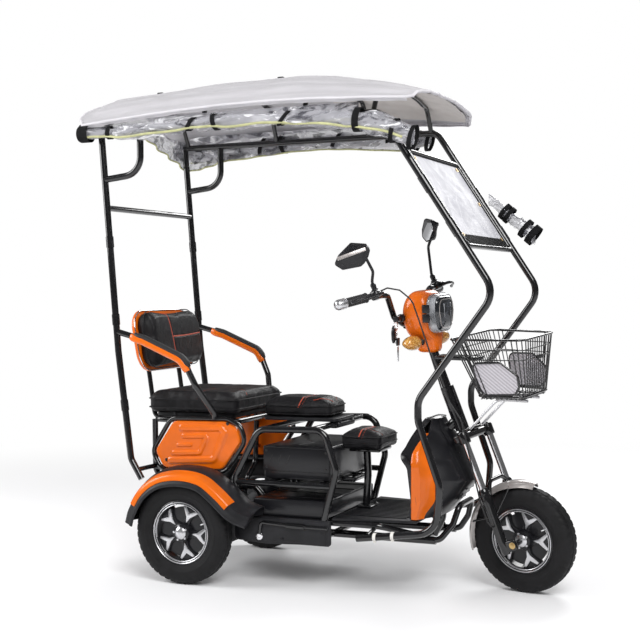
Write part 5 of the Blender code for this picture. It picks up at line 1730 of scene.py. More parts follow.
def place_pad(thing, threads, piping, name, body, node, matrix):
    dress(thing, body, "seat_leather", [node], 60, matrix)
    thing.name = f"{name}_look"
    trims = ((threads, f"{name}_thread", "seam_red"), (piping, f"{name}_piping", "seat_leather"))
    for trim, title, look in trims:
        trim.name = title
        dress(trim, body, look, angle=60, matrix=matrix)


def passenger_seat():
    outline = rounded(0.194, 0.216, 0.040)
    pad = cushion("passenger_pad", outline, 0.064, 0.016, 0.007, 0.006)
    cross = [(0.020, -0.21), (0.034, -0.10), (0.036, 0.0), (0.034, 0.10), (0.020, 0.21)]
    lengthwise = [(-0.185, -0.045), (-0.08, -0.040), (0.036, -0.038), (0.12, -0.060), (0.185, -0.085)]
    ribbon = [(0.036, 0.0), (0.034, 0.10), (0.026, 0.17)]
    threads = sewn(pad, "passenger_thread", [ribbon], [cross, lengthwise])
    rims = [(rim_route(outline, 0.002, z), 0.0020, True) for z in (0.049, 0.016)]
    place_pad(pad, threads, tubes("passenger_piping", rims, 5), "passenger_cushion", "chassis",
              "passenger_cushion", shifted(*at(-0.040, 0, 0.6088)))
    pan = plate("pan", rounded(0.165, 0.182, 0.030), 0.5878, 0.6078, "XY", 0.005, 3)
    moved(pan, shifted(x=-0.045))
    frame_ribs = [block("rib", (0.300, 0.012, 0.010), (-0.045, y, 0.5862), 0.003) for y in (-0.12, 0.0, 0.12)]
    heads = [((x, side * 0.1815, 0.597), (0, side, 0), 0.006) for x in (-0.12, 0.03) for side in (-1, 1)]
    whole = joined("seat_pan_look", pan, bolts("pan_bolts", heads), *frame_ribs)
    dress(whole, "chassis", "moulded_black", ["passenger_seat_pan"])


BACKREST = Matrix.Translation((-0.268, 0, 0.875)) @ Matrix.Rotation(radians(-10), 4, "Y")
UPRIGHT = BACKREST @ Matrix(((0, 0, 1, 0), (1, 0, 0, 0), (0, 1, 0, 0), (0, 0, 0, 1)))


def backrest():
    """Pad with crossed ribbons, a bright bead and the orange shell behind it."""
    outline = rounded(0.208, 0.112, 0.066, 10)
    pad = cushion("backrest_pad", outline, 0.048, 0.015, 0.004, 0.007)
    upright = [(-0.042, -0.106), (-0.048, -0.04), (-0.050, 0.0), (-0.060, 0.06), (-0.070, 0.106)]
    cross = [(-0.050, 0.002), (0.06, 0.004), (0.19, 0.012)]
    edge = [(-0.17, -0.085), (-0.176, 0.0), (-0.17, 0.085)]
    threads = sewn(pad, "backrest_thread", [upright, cross], [])
    channel(pad, flowing_flat(edge), 0.0030, 0.012)
    piping = tubes("backrest_piping", [(rim_route(outline, 0.001, 0.030), 0.0020, True)], 5)
    place_pad(pad, threads, piping, "backrest_cushion", "chassis", "backrest_cushion", PLACED @ UPRIGHT)
    rim = rim_route(rounded(0.213, 0.117, 0.071, 10), 0.0, 0.0005)
    bead = tubes("backrest_bead", [(rim, 0.0026, True)], 5)
    dress(bead, "chassis", "bright_chrome", angle=60, matrix=PLACED @ UPRIGHT)
    shape = rounded(0.216, 0.120, 0.074, 10)
    levels = ((1.0, -0.0003), (1.0, -0.006), (0.985, -0.0125), (0.955, -0.0165), (0.80, -0.0185),
              (0.78, -0.0165), (0.755, -0.0165), (0.735, -0.0190), (0.40, -0.0200), (0.20, -0.0200))
    rings = [[Vector((x * scale, y * scale, z)) for x, y in shape] for scale, z in levels]
    shell = merged(capped("backrest_shell_look", rings))
    dress(shell, "chassis", "orange_paint", ["backrest_shell"], 45, PLACED @ UPRIGHT)
    caps = bolts("backrest_bolts",
                 [((y, z, -0.0195), (0, 0, -1), 0.006) for y in (-0.115, 0.115) for z in (-0.05, 0.03)])
    dress(caps, "chassis", "brushed_silver", matrix=PLACED @ UPRIGHT)


def armrests():
    """Orange channels over the bent tubes with soft black tops let into them."""
    orange = [(-0.010, 0.007), (-0.0155, 0.004), (-0.0170, -0.004), (-0.0160, -0.013), (-0.010, -0.0185),
              (0.010, -0.0185), (0.0160, -0.013), (0.0170, -0.004), (0.0155, 0.004), (0.010, 0.007)]
    black = [(-0.0145, 0.002), (-0.0150, 0.008), (-0.0115, 0.0150), (-0.004, 0.0180), (0.004, 0.0180),
             (0.0115, 0.0150), (0.0150, 0.008), (0.0145, 0.002), (0.008, -0.002), (-0.008, -0.002)]
    corner = [Vector(point) for point in ARMREST]
    path = bent([corner[0].lerp(corner[1], 0.55), corner[1], corner[2], corner[2].lerp(corner[3], 0.45)],
                0.060, False, 9)
    path = finer(path, 0.012)
    outs = []
    for index in range(len(path)):
        ahead = path[min(index + 1, len(path) - 1)] - path[max(index - 1, 0)]
        outs.append(ahead.normalized().cross(Vector((0, 1, 0))).normalized())
    count = len(path) - 1
    lower = []
    for index, (point, out) in enumerate(zip(path, outs)):
        end = 1.0 - 0.25 * max(bump(index, 0, 1.5), bump(index, count, 1.5))
        tall = 0.0045 * max(bump(index, 0, 2.6), bump(index, count, 2.6))
        ahead = path[min(index + 1, count)] - path[max(index - 1, 0)]
        side = out.cross(ahead).normalized()
        lower.append([point + side * a * end + out * (b * end + (tall if b > 0 else 0)) for a, b in orange])
    pad = merged(capped("armrest", lower))
    upper = []
    for index in range(1, count):
        point, out = path[index], outs[index]
        side = out.cross(path[index + 1] - path[index - 1]).normalized()
        end = 1.0 - 0.35 * max(bump(index, 1, 1.6), bump(index, count - 1, 1.6))
        upper.append([point + side * a * end + out * b * (0.8 + 0.2 * end) for a, b in black])
    soft = merged(capped("armrest_top", upper))
    for thing in (pad, soft):
        bevelled(thing, 0.0012, 2, 40)
    dress_pair(pad, "armrest_pad", "chassis", "orange_paint", "armrest_pad", 50)
    twins = dress_pair(soft, "armrest_top", "chassis", "grip_rubber", angle=60)


def finer(path, pitch):
    """The path again with points no further apart than pitch."""
    places = [path[0]]
    for a, b in zip(path, path[1:]):
        pieces = max(1, round((b - a).length / pitch))
        places += [a.lerp(b, step / pieces) for step in range(1, pieces + 1)]
    return places


def driver_saddle():
    outline = [(-0.139, -0.088), (-0.139, 0.088), (-0.080, 0.103), (0.040, 0.101), (0.136, 0.080),
               (0.136, -0.080), (0.040, -0.101), (-0.080, -0.103)]
    outline = flat_outline([(x, y) for x, y in reversed(outline)], 0.026, 6)
    pad = cushion("saddle_pad", outline, 0.054, 0.018, 0.003, 0.007)
    ribbon = [(0.010, -0.099), (0.016, -0.060), (0.020, 0.0), (0.016, 0.060), (0.010, 0.099)]
    second = [(0.022, -0.097), (0.030, -0.050), (0.034, 0.0), (0.030, 0.050), (0.022, 0.097)]
    front = [(0.120, -0.020), (0.098, -0.052), (0.062, -0.072)]
    far_front = [(0.120, 0.020), (0.098, 0.052), (0.062, 0.072)]
    threads = sewn(pad, "saddle_thread", [ribbon, front], [second, far_front])
    piping = tubes("saddle_piping", [(rim_route(outline, 0.001, z), 0.0018, True) for z in (0.040, 0.010)], 5)
    matrix = shifted(*at(0.340, 0, 0.5945))
    place_pad(pad, threads, piping, "saddle_cushion", "saddle", "saddle_cushion", matrix)
    pan = plate("pan", rounded(0.1495, 0.095, 0.020), 0.0125, 0.0265, "XY", 0.004, 3)
    moved(pan, shifted(-0.1415, 0, 0))
    tube = [(-0.0794, 0.0065), (-0.0794, 0.011), (0.0794, 0.011), (0.0794, 0.0065)]
    knuckle = turned("knuckle", tube, 28, "Y", True)
    arms = [block("arm", (0.028, 0.016, 0.020), (-0.004, y, 0.010), 0.004) for y in (-0.055, 0.055)]
    whole = joined("saddle_pan_look", pan, knuckle, *arms)
    dress(whole, "saddle", "moulded_black", ["saddle_pan"], matrix=Matrix.Translation(HINGE))


def child_seat():
    outline = rounded(0.078, 0.099, 0.020)
    pad = cushion("child_pad", outline, 0.054, 0.012, 0.003, 0.005, 0.005)
    ribbon = [(-0.010, -0.098), (-0.004, -0.040), (-0.002, 0.020), (-0.008, 0.060), (-0.020, 0.096)]
    front = [(-0.004, -0.040), (0.020, -0.050), (0.045, -0.058), (0.070, -0.050)]
    threads = sewn(pad, "child_thread", [ribbon], [front, [(0.004, -0.094), (0.010, 0.0), (-0.006, 0.094)]])
    piping = tubes("child_piping", [(rim_route(outline, 0.0005, z), 0.0018, True) for z in (0.044, 0.020)], 5)
    place_pad(pad, threads, piping, "child_cushion", "chassis", "child_cushion",
              shifted(*at(0.598, 0, 0.4842)))


class TRICYCLE_OT_seats(bpy.types.Operator):
    """Passenger seat, backrest, armrests, saddle and the small front seat"""

    bl_idname = "tricycle.seats"
    bl_label = "Seats"

    def execute(self, context):
        for piece in (passenger_seat, backrest, armrests, driver_saddle, child_seat):
            piece()
        return {"FINISHED"}


# Canopy


def ripple(x, y, z):
    """Smooth noise at a place, from -1 to 1."""
    return noise.noise(Vector((x, y, z)))


def canopy_place(x, y, lift=0.0):
    """A point on the canopy's sheet, before its ribs and folds."""
    share = (x - CANOPY_REAR) / (CANOPY_FRONT - CANOPY_REAR)
    rise = sin(0.85 * pi * share)
    dip = max(0, (share - 0.62) / 0.38)
    edge = 1.685 + 0.042 * rise
    crown = 1.808 + 0.040 * rise - 0.074 * dip ** 1.6
    drop = min(1.0, abs(y) / CANOPY_HALF) ** 2.6
    return Vector((x, y, edge + (crown - edge) * (1 - drop) + lift))


def canopy_surface(u, v):
    """The sheet, from the rear to the front (u) and from side to side (v), with its ribs and steps."""
    ribs, height = sizes().canopy_grooves, sizes().canopy_groove_depth
    x, side = mix(CANOPY_REAR, CANOPY_FRONT, u), 2 * v - 1
    away = abs(side)
    corner = 0.045 * smooth(away, 0.78, 1.0) ** 2 * (1 - smooth(u, 0.0, 0.08))
    front = 0.022 * smooth(away, 0.80, 1.0) * smooth(u, 0.95, 1.0)
    place = canopy_place(x + corner - front, side * CANOPY_HALF)
    lane = away ** 0.8 * ribs / 2
    fold = height * (bump(lane % 1, 0.5, 0.16) - 0.3) * (1 - smooth(away, 0.90, 0.97))
    over_bow = max(bump(x, bow, 0.16) for bow in BOWS)
    sag = 0.003 * (over_bow - 0.6) * (1 - side ** 4)
    ruffle = 0.0016 * ripple(x * 7, side * 5, 2.0) + 0.0010 * ripple(x * 30, side * 12, 5)
    step = 0.013 * min(1.0, smooth(away, 0.86, 0.89) + smooth(0.055 - u, 0.0, 0.012))
    place.z += fold + sag + ruffle - step + 0.010 * side ** 2
    return place


def canopy_rim():
    """The sheet's edge, all the way round."""
    rim = [canopy_surface(step / 60, 0.0) for step in range(60)]
    rim += [canopy_surface(1.0, step / 40) for step in range(40)]
    rim += [canopy_surface(1 - step / 60, 1.0) for step in range(60)]
    return rim + [canopy_surface(0.0, 1 - step / 40) for step in range(40)]


def canopy_hem():
    rim = [place - Vector((0, 0, 0.003)) for place in canopy_rim()]
    hem = tubes("canopy_hem", [(rim, 0.0055, True)], 6)
    dress(hem, "chassis", "hem_cloth", angle=60)
    return hem


def canopy_valance():
    """The strips that hang from the long edges."""
    strips = []
    for edge, inward in ((0.0, 1), (1.0, -1)):

        def skirt(a, b):
            hang = Vector((0, inward * (0.014 * b - 0.0025), -0.013 * b + 0.001 * sin(a * 60) * b))
            return canopy_surface(a, edge) + hang

        strips.append(wrapped("skirt", 120, 4, skirt, thickness=0.002))
    valance = joined("canopy_valance", *strips)
    dress(valance, "chassis", "hem_cloth", angle=60)
    return valance


def canopy_lining():
    """The paler cloth under the front of the roof."""

    def lining(u, v):
        gap = 0.0075 + 0.003 * sin(9 * v)
        return canopy_surface(mix(0.60, 0.985, u), mix(0.05, 0.95, v)) - Vector((0, 0, gap))

    lined = wrapped("canopy_lining", 50, 60, lining, thickness=0.0015)
    dress(lined, "chassis", "lining_cloth", angle=60)
    return lined


def canopy_sheet():
    """One sheet over the bows: long ribs, a stepped rear corner, a rolled hem, clips and a lining."""
    sheet = wrapped("canopy_look", 150, 110, canopy_surface, thickness=0.0035)
    dress(sheet, "chassis", "canopy_cloth", ["canopy"], 60)
    lengthwise = [canopy_surface(step / 60, 0.5) for step in range(61)]
    crosswise = [canopy_surface(0.5, step / 60) for step in range(61)]
    canopy_hem()
    canopy_valance()
    canopy_lining()
    clips = []
    for u, v in ((0.18, 0.32), (0.56, 0.32), (0.18, 0.68), (0.56, 0.68)):
        place = canopy_surface(u, v) + Vector((0, 0, 0.004))
        clips.append(block("clip", (0.024, 0.012, 0.008), place, 0.003))
    dress(joined("canopy_clips", *clips), "chassis", "cable_black")


def curtain_rings(path, size, seed, lobes=3):
    """Rings of a crumpled roll of film along a path."""
    rings = []
    for index, point in enumerate(path):
        share = index / (len(path) - 1)
        ring = []
        for turn in turns(28):
            wave = ripple(cos(turn) * 1.2, sin(turn) * 1.2, share * 17 + seed)
            fold = 0.16 * sin(lobes * turn + share * 9 + seed) + 0.45 * wave
            reach = size(share) * (1 + fold)
            ring.append(point + Vector((0, cos(turn) * reach * 0.85, sin(turn) * reach)))
        rings.append(ring)
    return rings


ROLLS = (
    # node, side, seed of its folds, place and width of its bulge, the bulge, route
    ("curtain_roll_right", -1, 3.0, 0.88, 0.16, 0.017,
     ((-0.400, 1.652), (-0.20, 1.648), (0.10, 1.660), (0.40, 1.658), (0.66, 1.640), (0.78, 1.618),
      (0.895, 1.574))),
    ("curtain_roll_left", 1, 11.0, 0.35, 0.30, 0.008,
     ((-0.400, 1.652), (-0.20, 1.648), (0.10, 1.660), (0.40, 1.662), (0.72, 1.650))),
)
ROLL_TIES = (
    # share of the way along, lean, width of the strap
    (0.10, 0.0, 0.018), (0.36, 0.012, 0.018), (0.44, -0.006, 0.018), (0.66, 0.020, 0.018),
    (0.86, 0.004, 0.024),
)


def curtains():
    """Rolled clear side curtains tied under the roof, with straps, piping and loose folds."""
    for name, side, seed, place, spread, bulge, route in ROLLS:
        path = finer(flowing([(x, side * 0.3568, z) for x, z in route], 8), 0.014)

        def size(share):
            waist = max(bump(share, tie, 0.035) for tie, _, _ in ROLL_TIES)
            heavy = bulge * bump(share, place, spread)
            return 0.0245 + 0.004 * sin(share * 23 + seed) - 0.006 * waist + heavy

        roll = merged(capped(f"{name}_look", curtain_rings(path, size, seed)))
        dress(roll, "chassis", "clear_vinyl", [name], 50)
        inner = merged(capped(f"{name}_core",
                              curtain_rings(path, lambda share: size(share) * 0.62, seed + 5, 4)))
        dress(inner, "chassis", "clear_vinyl", angle=50)
        roll_piping(name, side, path, size)
        roll_straps(name, path, size)


def roll_piping(name, side, path, size):
    """The pale edge that shows low on the outside of the roll."""
    line = []
    for index, place in enumerate(path):
        reach = size(index / (len(path) - 1)) * 0.92 + 0.004
        turn = radians(-38) + 0.10 * sin(index * 0.35)
        line.append(place + Vector((0, side * cos(turn) * reach, sin(turn) * reach)))
    dress(tubes(f"{name}_piping", [(line[2:-2], 0.0044)], 6), "chassis", "piping_green", angle=60)


def roll_straps(name, path, size):
    """Loops that tie the roll up, and the ringed disc at its rear end."""
    straps = []
    for tie, lean, width in ROLL_TIES:
        straps.append(strap_loop(along(path, tie), size(tie) + 0.005, lean, width))
    straps.append(strap_loop(path[1], 0.030, 0.0, 0.040))
    profile = [(0.0, 0.0), (0.0, 0.010), (0.002, 0.011), (0.002, 0.017), (-0.002, 0.0185), (-0.002, 0.0225),
               (0.003, 0.0235), (0.003, 0.0300), (-0.016, 0.0300), (-0.016, 0.0)]
    disc = turned("disc", profile, 32, "X")
    straps.append(moved(disc, Matrix.Translation(path[0]) @ shifted(x=-0.010) @ rolled(pi, "Z")))
    for share in (0.955, 1.0):
        straps.append(strap_loop(along(path, share) + Vector((0, 0, -0.010)), 0.036, 0.010, 0.016))
    dress(joined(f"{name}_straps", *straps), "chassis", "strap_web", angle=60)


def strap_loop(centre, radius, lean, width):
    """A web loop round a roll, drawn up a little towards the roof rail."""

    def band(u, v):
        turn = 2 * pi * u
        rise = 0.006 * max(0.0, sin(turn)) ** 2
        ahead = (v - 0.5) * width + lean * sin(turn)
        return centre + Vector((ahead, cos(turn) * radius * 0.95, sin(turn) * radius + rise))

    return wrapped("strap", 36, 3, band, close_across=True, thickness=-0.0016)


FILMS = (
    # name, top from, top to, drop at each end, waves
    ("film_far", (-0.340, 0.345, 1.715), (0.640, 0.345, 1.715), 0.110, 0.110, 7),
    ("film_rear_corner", (-0.345, 0.330, 1.650), (-0.150, 0.330, 1.650), 0.080, 0.050, 3),
    ("film_rear", (-0.352, -0.060, 1.700), (-0.352, 0.318, 1.690), 0.010, 0.150, 4),
    ("film_near", (-0.400, -0.350, 1.700), (0.700, -0.350, 1.700), 0.060, 0.060, 9),
)


def hanging_film():
    """Loose curtain along the sides and the drops at the rear."""
    for name, start, end, first, last, waves in FILMS:
        start, end, drop = Vector(start), Vector(end), max(first, last)
        aside = (end - start).normalized().cross(Vector((0, 0, -1)))

        def film(u, v):
            place = start.lerp(end, u)
            hang = mix(first, last, u ** 1.3) * (0.88 + 0.12 * sin(waves * 0.9 * u + 1.0)) * v
            wave = 0.007 * sin(waves * 2 * pi * u + 2.4 * v) * v
            wave += 0.006 * ripple((place.x + place.y) * 22, v * 3, start.y)
            return place + aside * wave - Vector((0, 0, hang))

        piece = wrapped(name, 90, 14, film, thickness=0.001)
        dress(piece, "chassis", "clear_vinyl", angle=70)
        edge = [film(step / 60, 1.0) for step in range(61)]
        dress(tubes(f"{name}_edge", [(edge, 0.0034)], 4), "chassis", "piping_green", angle=60)


def screen_place(u, v):
    """A point on the windscreen's film, from side to side (u) and down (v)."""
    down = mix(1 - SCREEN_REACH, SCREEN_REACH, v)
    place = SCREEN_TOP.lerp(SCREEN_FOOT, down) + Vector((0, mix(-FILM_HALF, FILM_HALF, u), 0))
    wave = 0.005 * ripple(u * 4, v * 5, 3) + 0.003 * ripple(u * 9, v * 14, 7)
    return place + SCREEN_OUT * wave * 16 * u * (1 - u) * v * (1 - v)


SCREEN_BANDS = (
    # from (u, v), to (u, v), half width
    ((0, 0), (1, 0), 0.007), ((0, 0.955), (1, 0.955), 0.022), ((0, 0), (0, 1), 0.009),
    ((1, 0), (1, 1), 0.009),
)


def windscreen():
    """Clear film on its frame, with a black border and eyelets."""
    sheet = wrapped("windscreen_look", 70, 60, screen_place, thickness=0.0012)
    dress(sheet, "chassis", "screen_vinyl", ["windscreen"], 70)
    border = []
    for start, end, wide in SCREEN_BANDS:
        ends = Vector(start), Vector(end)
        route = [screen_place(*ends[0].lerp(ends[1], step / 20)) for step in range(21)]
        section = [(-wide, -0.0022), (wide, -0.0022), (wide, 0.0022), (-wide, 0.0022)]
        border.append(swept("band", route, section, [SCREEN_OUT] * len(route)))
    border = joined("windscreen_border", *border)
    dress(border, "chassis", "strap_web", angle=40)
    profile = [(-0.0034, 0.004), (-0.0034, 0.0075), (0.0, 0.0085), (0.0034, 0.0075), (0.0034, 0.004)]
    ring = turned("eyelet", profile, 20, "Z", True)
    face = SCREEN_OUT.to_track_quat("Z", "Y").to_matrix().to_4x4()
    eyelets = []
    for u, v in ((0.06, 0.06), (0.05, 0.90), (0.94, 0.06), (0.95, 0.90), (0.95, 0.48)):
        eyelets.append(copied(ring, Matrix.Translation(screen_place(u, v)) @ face))
    bpy.data.objects.remove(ring)
    dress(joined("windscreen_eyelets", *eyelets), "chassis", "brass_ring", angle=50)


def lower_roll():
    """The rolled film tied to the far bar, with its straps and the open black end."""
    path = finer([Vector((0.962, 0.345, 1.403)), Vector((1.135, 0.345, 1.258))], 0.010)
    rings = curtain_rings(path, lambda share: 0.021 + 0.010 * share, 21.0)
    roll = merged(capped("front_roll", rings))
    dress(roll, "chassis", "clear_vinyl", angle=60)
    straps = []
    lean = (path[-1] - path[0]).to_track_quat("X", "Z").to_matrix().to_4x4()
    for share, width in ((0.34, 0.018), (0.44, 0.016), (0.80, 0.018), (0.97, 0.026)):
        strap = strap_loop(Vector(), 0.024 + 0.012 * share, 0.0, width)
        straps.append(moved(strap, Matrix.Translation(along(path, share)) @ lean))
    dress(joined("front_roll_straps", *straps), "chassis", "strap_web", angle=60)


class TRICYCLE_OT_canopy(bpy.types.Operator):
    """Canopy sheet, rolled curtains, loose films and the windscreen"""

    bl_idname = "tricycle.canopy"
    bl_label = "Canopy"

    def execute(self, context):
        for piece in (canopy_sheet, curtains, hanging_film, windscreen, lower_roll):
            piece()
        return {"FINISHED"}


# Steering: written in the column's frame, or in the lamp's and the basket's level frames


def fork():
    """Column, crown, chrome stanchions, boots and lower legs."""
    column = tubes("stem", [([(0, 0, -0.172), (0, 0, 0.300)], 0.0165)])
    races = []
    for z in (-0.161, 0.008):
        races.append(turned("race", [(z - 0.009, 0.0166), (z - 0.009, 0.024), (z - 0.004, 0.0245),
                                     (z + 0.004, 0.0245), (z + 0.006, 0.022),
                                     (z + 0.006, 0.0166)], 36, "Z", True))
    crown = block("crown", (0.060, 2 * FORK_HALF, 0.028), (0.026, 0, -0.176), 0.010, 4)
    clamps = []
    for side in (-1, 1):
        clamp_ring = turned("clamp", [(-0.200, 0.0), (-0.200, 0.0185), (-0.196, 0.0205), (-0.164, 0.0205),
                                      (-0.159, 0.0180), (-0.157, 0.0)], 36, "Z")
        clamps.append(moved(clamp_ring, shifted(LEG_LEAD, side * FORK_HALF, 0)))
        place = (LEG_LEAD - 0.026, side * FORK_HALF, -0.178)
        clamps.append(block("ear", (0.022, 0.012, 0.026), place, 0.004))
    top = joined("arm", block("arm", (0.062, 0.050, 0.012), (0.034, 0, -0.157), 0.004), *clamps)
    knobs = bolts("crown_bolts",
                  [((LEG_LEAD, side * FORK_HALF, -0.1605), (0, 0, 1), 0.009) for side in (-1, 1)])
    level = moved(block("basket_arm", (0.170, 0.060, 0.014), (0.050, 0, 0.120), 0.004), rolled(RAKE, "Y"))
    whole = joined("steering_column_look", column, crown, top, knobs, level, *races)
    dress(whole, "steering", "gloss_black", ["steering_column"])
    bars = []
    for side in (-1, 1):
        bars.append(([(LEG_LEAD, side * FORK_HALF, z) for z in (-0.158, -0.400)], 0.0125))
    chrome = tubes("stanchions", bars)
    dress(chrome, "steering", "bright_chrome", angle=50)
    legs = []
    leg = turned("leg", [(-0.606, 0.0), (-0.606, 0.012), (-0.598, 0.0165), (-0.560, 0.0170),
                         (-0.430, 0.0172), (-0.422, 0.0185), (-0.398, 0.0190), (-0.392, 0.0178),
                         (-0.386, 0.0186), (-0.374, 0.0184), (-0.366, 0.0140), (-0.366, 0.0)], 36, "Z")
    for side in (-1, 1):
        legs.append(copied(leg, shifted(LEG_LEAD, side * FORK_HALF, 0)))
        lug = block("lug", (0.060, 0.018, 0.040), (0.066, side * FORK_HALF, -0.580), 0.007)
        legs.append(lug)
    bpy.data.objects.remove(leg)
    axle = tubes("front_axle", [([FRONT_AXLE + Vector((0, y, 0)) for y in (-0.094, 0.094)], 0.010)])
    nuts = bolts("axle_nuts",
                 [(FRONT_AXLE + Vector((0, side * 0.099, 0)), (0, side, 0), 0.0080) for side in (-1, 1)])
    dress(joined("fork_legs_look", axle, *legs), "steering", "gloss_black", ["fork_legs"], 50)
    dress(nuts, "steering", "brass_ring")
    half = [(-FORK_HALF, -0.475), (-0.084, -0.400), (-0.050, -0.350)]
    whole = half + [(-y, z) for y, z in reversed(half)]
    arch = [(LEG_LEAD + 0.012, y, z) for y, z in whole]
    dress(tubes("fender_arch", [(bent(arch, 0.040), 0.0075)]), "steering", "gloss_black")


def front_fender():
    """Silver blade over the front wheel with a rolled edge and its stays."""
    centre, radius, half = FRONT_AXLE, 0.2035, 0.047

    def blade(u, v):
        turn = radians(mix(76, 196, v)) - RAKE
        side = 2 * u - 1
        taper = half * (1 - 0.45 * bump(v, 0.0, 0.22))
        drop = 0.020 * abs(side) ** 2.6 + 0.0025 * bump(abs(side), 0.55, 0.12)
        reach = radius + 0.006 - drop
        return centre + Vector((cos(turn) * reach, side * taper, sin(turn) * reach))

    skin = wrapped("front_fender_look", 40, 60, blade, thickness=0.0035)
    stays = []
    for side in (-1, 1):
        for angle in (100, 165):
            turn = radians(angle) - RAKE
            rim = centre + Vector((cos(turn) * (radius - 0.010), side * 0.040, sin(turn) * (radius - 0.010)))
            stays.append(([rim, (LEG_LEAD, side * 0.074, -0.470)], 0.0035))
    dress(skin, "steering", "silver_paint", ["front_fender"], 50)
    dress(tubes("fender_stays", stays, 4), "steering", "gloss_black")


HANDLEBAR = ((-0.062, 0.030, 0.280), (-0.058, 0.080, 0.310), (-0.010, 0.150, 0.385), (-0.022, 0.228, 0.392),
             (-0.090, 0.356, 0.395))


def handlebar():
    half = [Vector(point) for point in HANDLEBAR]
    whole = [Vector((x, -y, z)) for x, y, z in reversed(half)] + half
    routes = [(bent(whole, 0.030), 0.0110)]
    lever = [(-0.018, 0.222, 0.390), (0.030, 0.235, 0.386), (0.014, 0.290, 0.384), (-0.030, 0.350, 0.384)]
    levers = []
    for side in (-1, 1):
        levers.append((flowing([(x, side * y, z) for x, y, z in lever], 6),
                       [0.0055] * 8 + [0.0042] * 10 + [0.0062]))
    clamp_block = block("stem_clamp", (0.105, 0.050, 0.040), (-0.0225, 0, 0.282), 0.009)
    pods = []
    for side in (-1, 1):
        pods.append(block("pod", (0.034, 0.036, 0.034), (-0.014, side * 0.212, 0.392), 0.009))
        pods.append(block("switch", (0.006, 0.014, 0.008), (-0.031, side * 0.212, 0.398), 0.002))
        pods.append(block("perch", (0.022, 0.020, 0.016), (0.006, side * 0.226, 0.389), 0.005))
    whole = joined("handlebar_look", tubes("bar", routes), clamp_block, *pods)
    dress(whole, "steering", "gloss_black", ["handlebar"])
    dress(tubes("levers", levers, 6), "steering", "satin_black", angle=50)
    start, span = Vector((-0.022, 0.228, 0.392)), Vector((-0.068, 0.128, 0.003))
    ahead = span.normalized()
    profile = [(0.0, 0.0112), (0.0, 0.0175), (0.003, 0.0182), (0.006, 0.0165)]
    for ring in range(11):
        z = 0.009 + ring * 0.009
        profile += [(z, 0.0162), (z + 0.003, 0.0168), (z + 0.006, 0.0162)]
    profile += [(0.110, 0.0165), (0.113, 0.0178), (0.116, 0.0170), (0.116, 0.0112)]
    grip = turned("grip", profile, 40, "Z", True)
    place = Matrix.Translation(start + ahead * 0.022) @ ahead.to_track_quat("Z", "Y").to_matrix().to_4x4()
    dress_pair(moved(grip, place), "grip", "steering", "grip_rubber", "grip", 50)
    sleeve = [(0.084, 0.0), (0.084, 0.0182), (0.086, 0.0188), (0.114, 0.0188), (0.118, 0.0176),
              (0.125, 0.0130), (0.127, 0.0)]
    end = turned("bar_end", sleeve, 36, "Z")
    dress_pair(moved(end, place), "bar_end", "steering", "brushed_silver", angle=50)


MIRROR_CORNERS = (
    # outward, up
    (0.067, -0.008), (0.043, 0.018), (-0.012, 0.045), (-0.066, 0.021), (-0.067, -0.003), (-0.055, -0.021),
    (-0.034, -0.039), (-0.018, -0.046), (0.046, -0.036),
)


def mirrors():
    """Faceted mirrors turned towards the rider, on bent stalks."""
    heads = (
        # side name, side, height of the head
        ("right", -1, 0.541), ("left", 1, 0.610),
    )
    shell_levels = (
        # depth, scale across, scale up
        (-0.012, 0.90, 0.88), (-0.0135, 0.955, 0.95), (-0.010, 1.0, 1.0), (-0.004, 1.0, 1.0),
        (0.001, 0.96, 0.92), (0.0150, 0.88, 0.25), (0.0165, 0.86, 0.20),
    )
    outline = flat_outline(MIRROR_CORNERS, 0.010, 4)
    for name, side, lift in heads:
        place = Matrix.Translation((0, side * 0.294, lift)) @ Matrix.Rotation(side * radians(54), 4, "Z")

        def rim(x, wide, high):
            return [Vector((x, side * u * wide, v * high + 0.004 * (1 - high))) for u, v in outline]

        head = merged(capped("mirror_shell", [rim(*level) for level in shell_levels]))
        moved(head, place)
        stalk = [(-0.014, 0.208, 0.4093), (-0.014, 0.208, 0.440), (0.010, 0.215, lift - 0.070),
                 (0.032, 0.266, lift - 0.012)]
        stalk = bent([(x, side * y, z) for x, y, z in stalk], 0.030)
        profile = [(0.402, 0.0), (0.402, 0.013), (0.412, 0.013), (0.414, 0.009), (0.430, 0.010),
                   (0.436, 0.0065), (0.436, 0.0)]
        foot = turned("mirror_foot", profile, 24, "Z")
        moved(foot, shifted(-0.014, side * 0.208, 0))
        thing = joined(f"mirror_{name}_look", head, tubes("stalk", [(stalk, 0.0052)]), foot)
        dress(thing, "steering", "satin_black", [f"mirror_{name}"], 30)
        pane = [(side * u * 0.86, v * 0.84) for u, v in outline]
        glass = plate("glass", pane, -0.0136, -0.0118, "YZ", 0.0006)
        glass.name = f"mirror_{name}_glass"
        dress(moved(glass, place), "steering", "mirror_glass")
        # painted reflection: a silver strip along the ridge of the black back, where its light band falls
        strip = block("strip", (0.0020, 0.104, 0.0125), (0.0162, 0, 0.003), 0.0009)
        strip.name = f"mirror_{name}_strip"
        dress(moved(strip, place), "steering", "silver_paint")


COWL_ROWS = (
    # height, back, ahead, half width
    (-0.112, -0.022, 0.061, 0.034), (-0.085, -0.030, 0.061, 0.039), (-0.064, -0.036, 0.060, 0.043),
    (-0.055, -0.045, 0.060, 0.052), (-0.040, -0.057, 0.058, 0.066), (-0.010, -0.067, 0.058, 0.077),
    (0.030, -0.072, 0.058, 0.082), (0.062, -0.066, 0.057, 0.080), (0.084, -0.056, 0.052, 0.073),
    (0.100, -0.042, 0.044, 0.062), (0.109, -0.030, 0.034, 0.050), (0.112, -0.020, 0.022, 0.036),
)


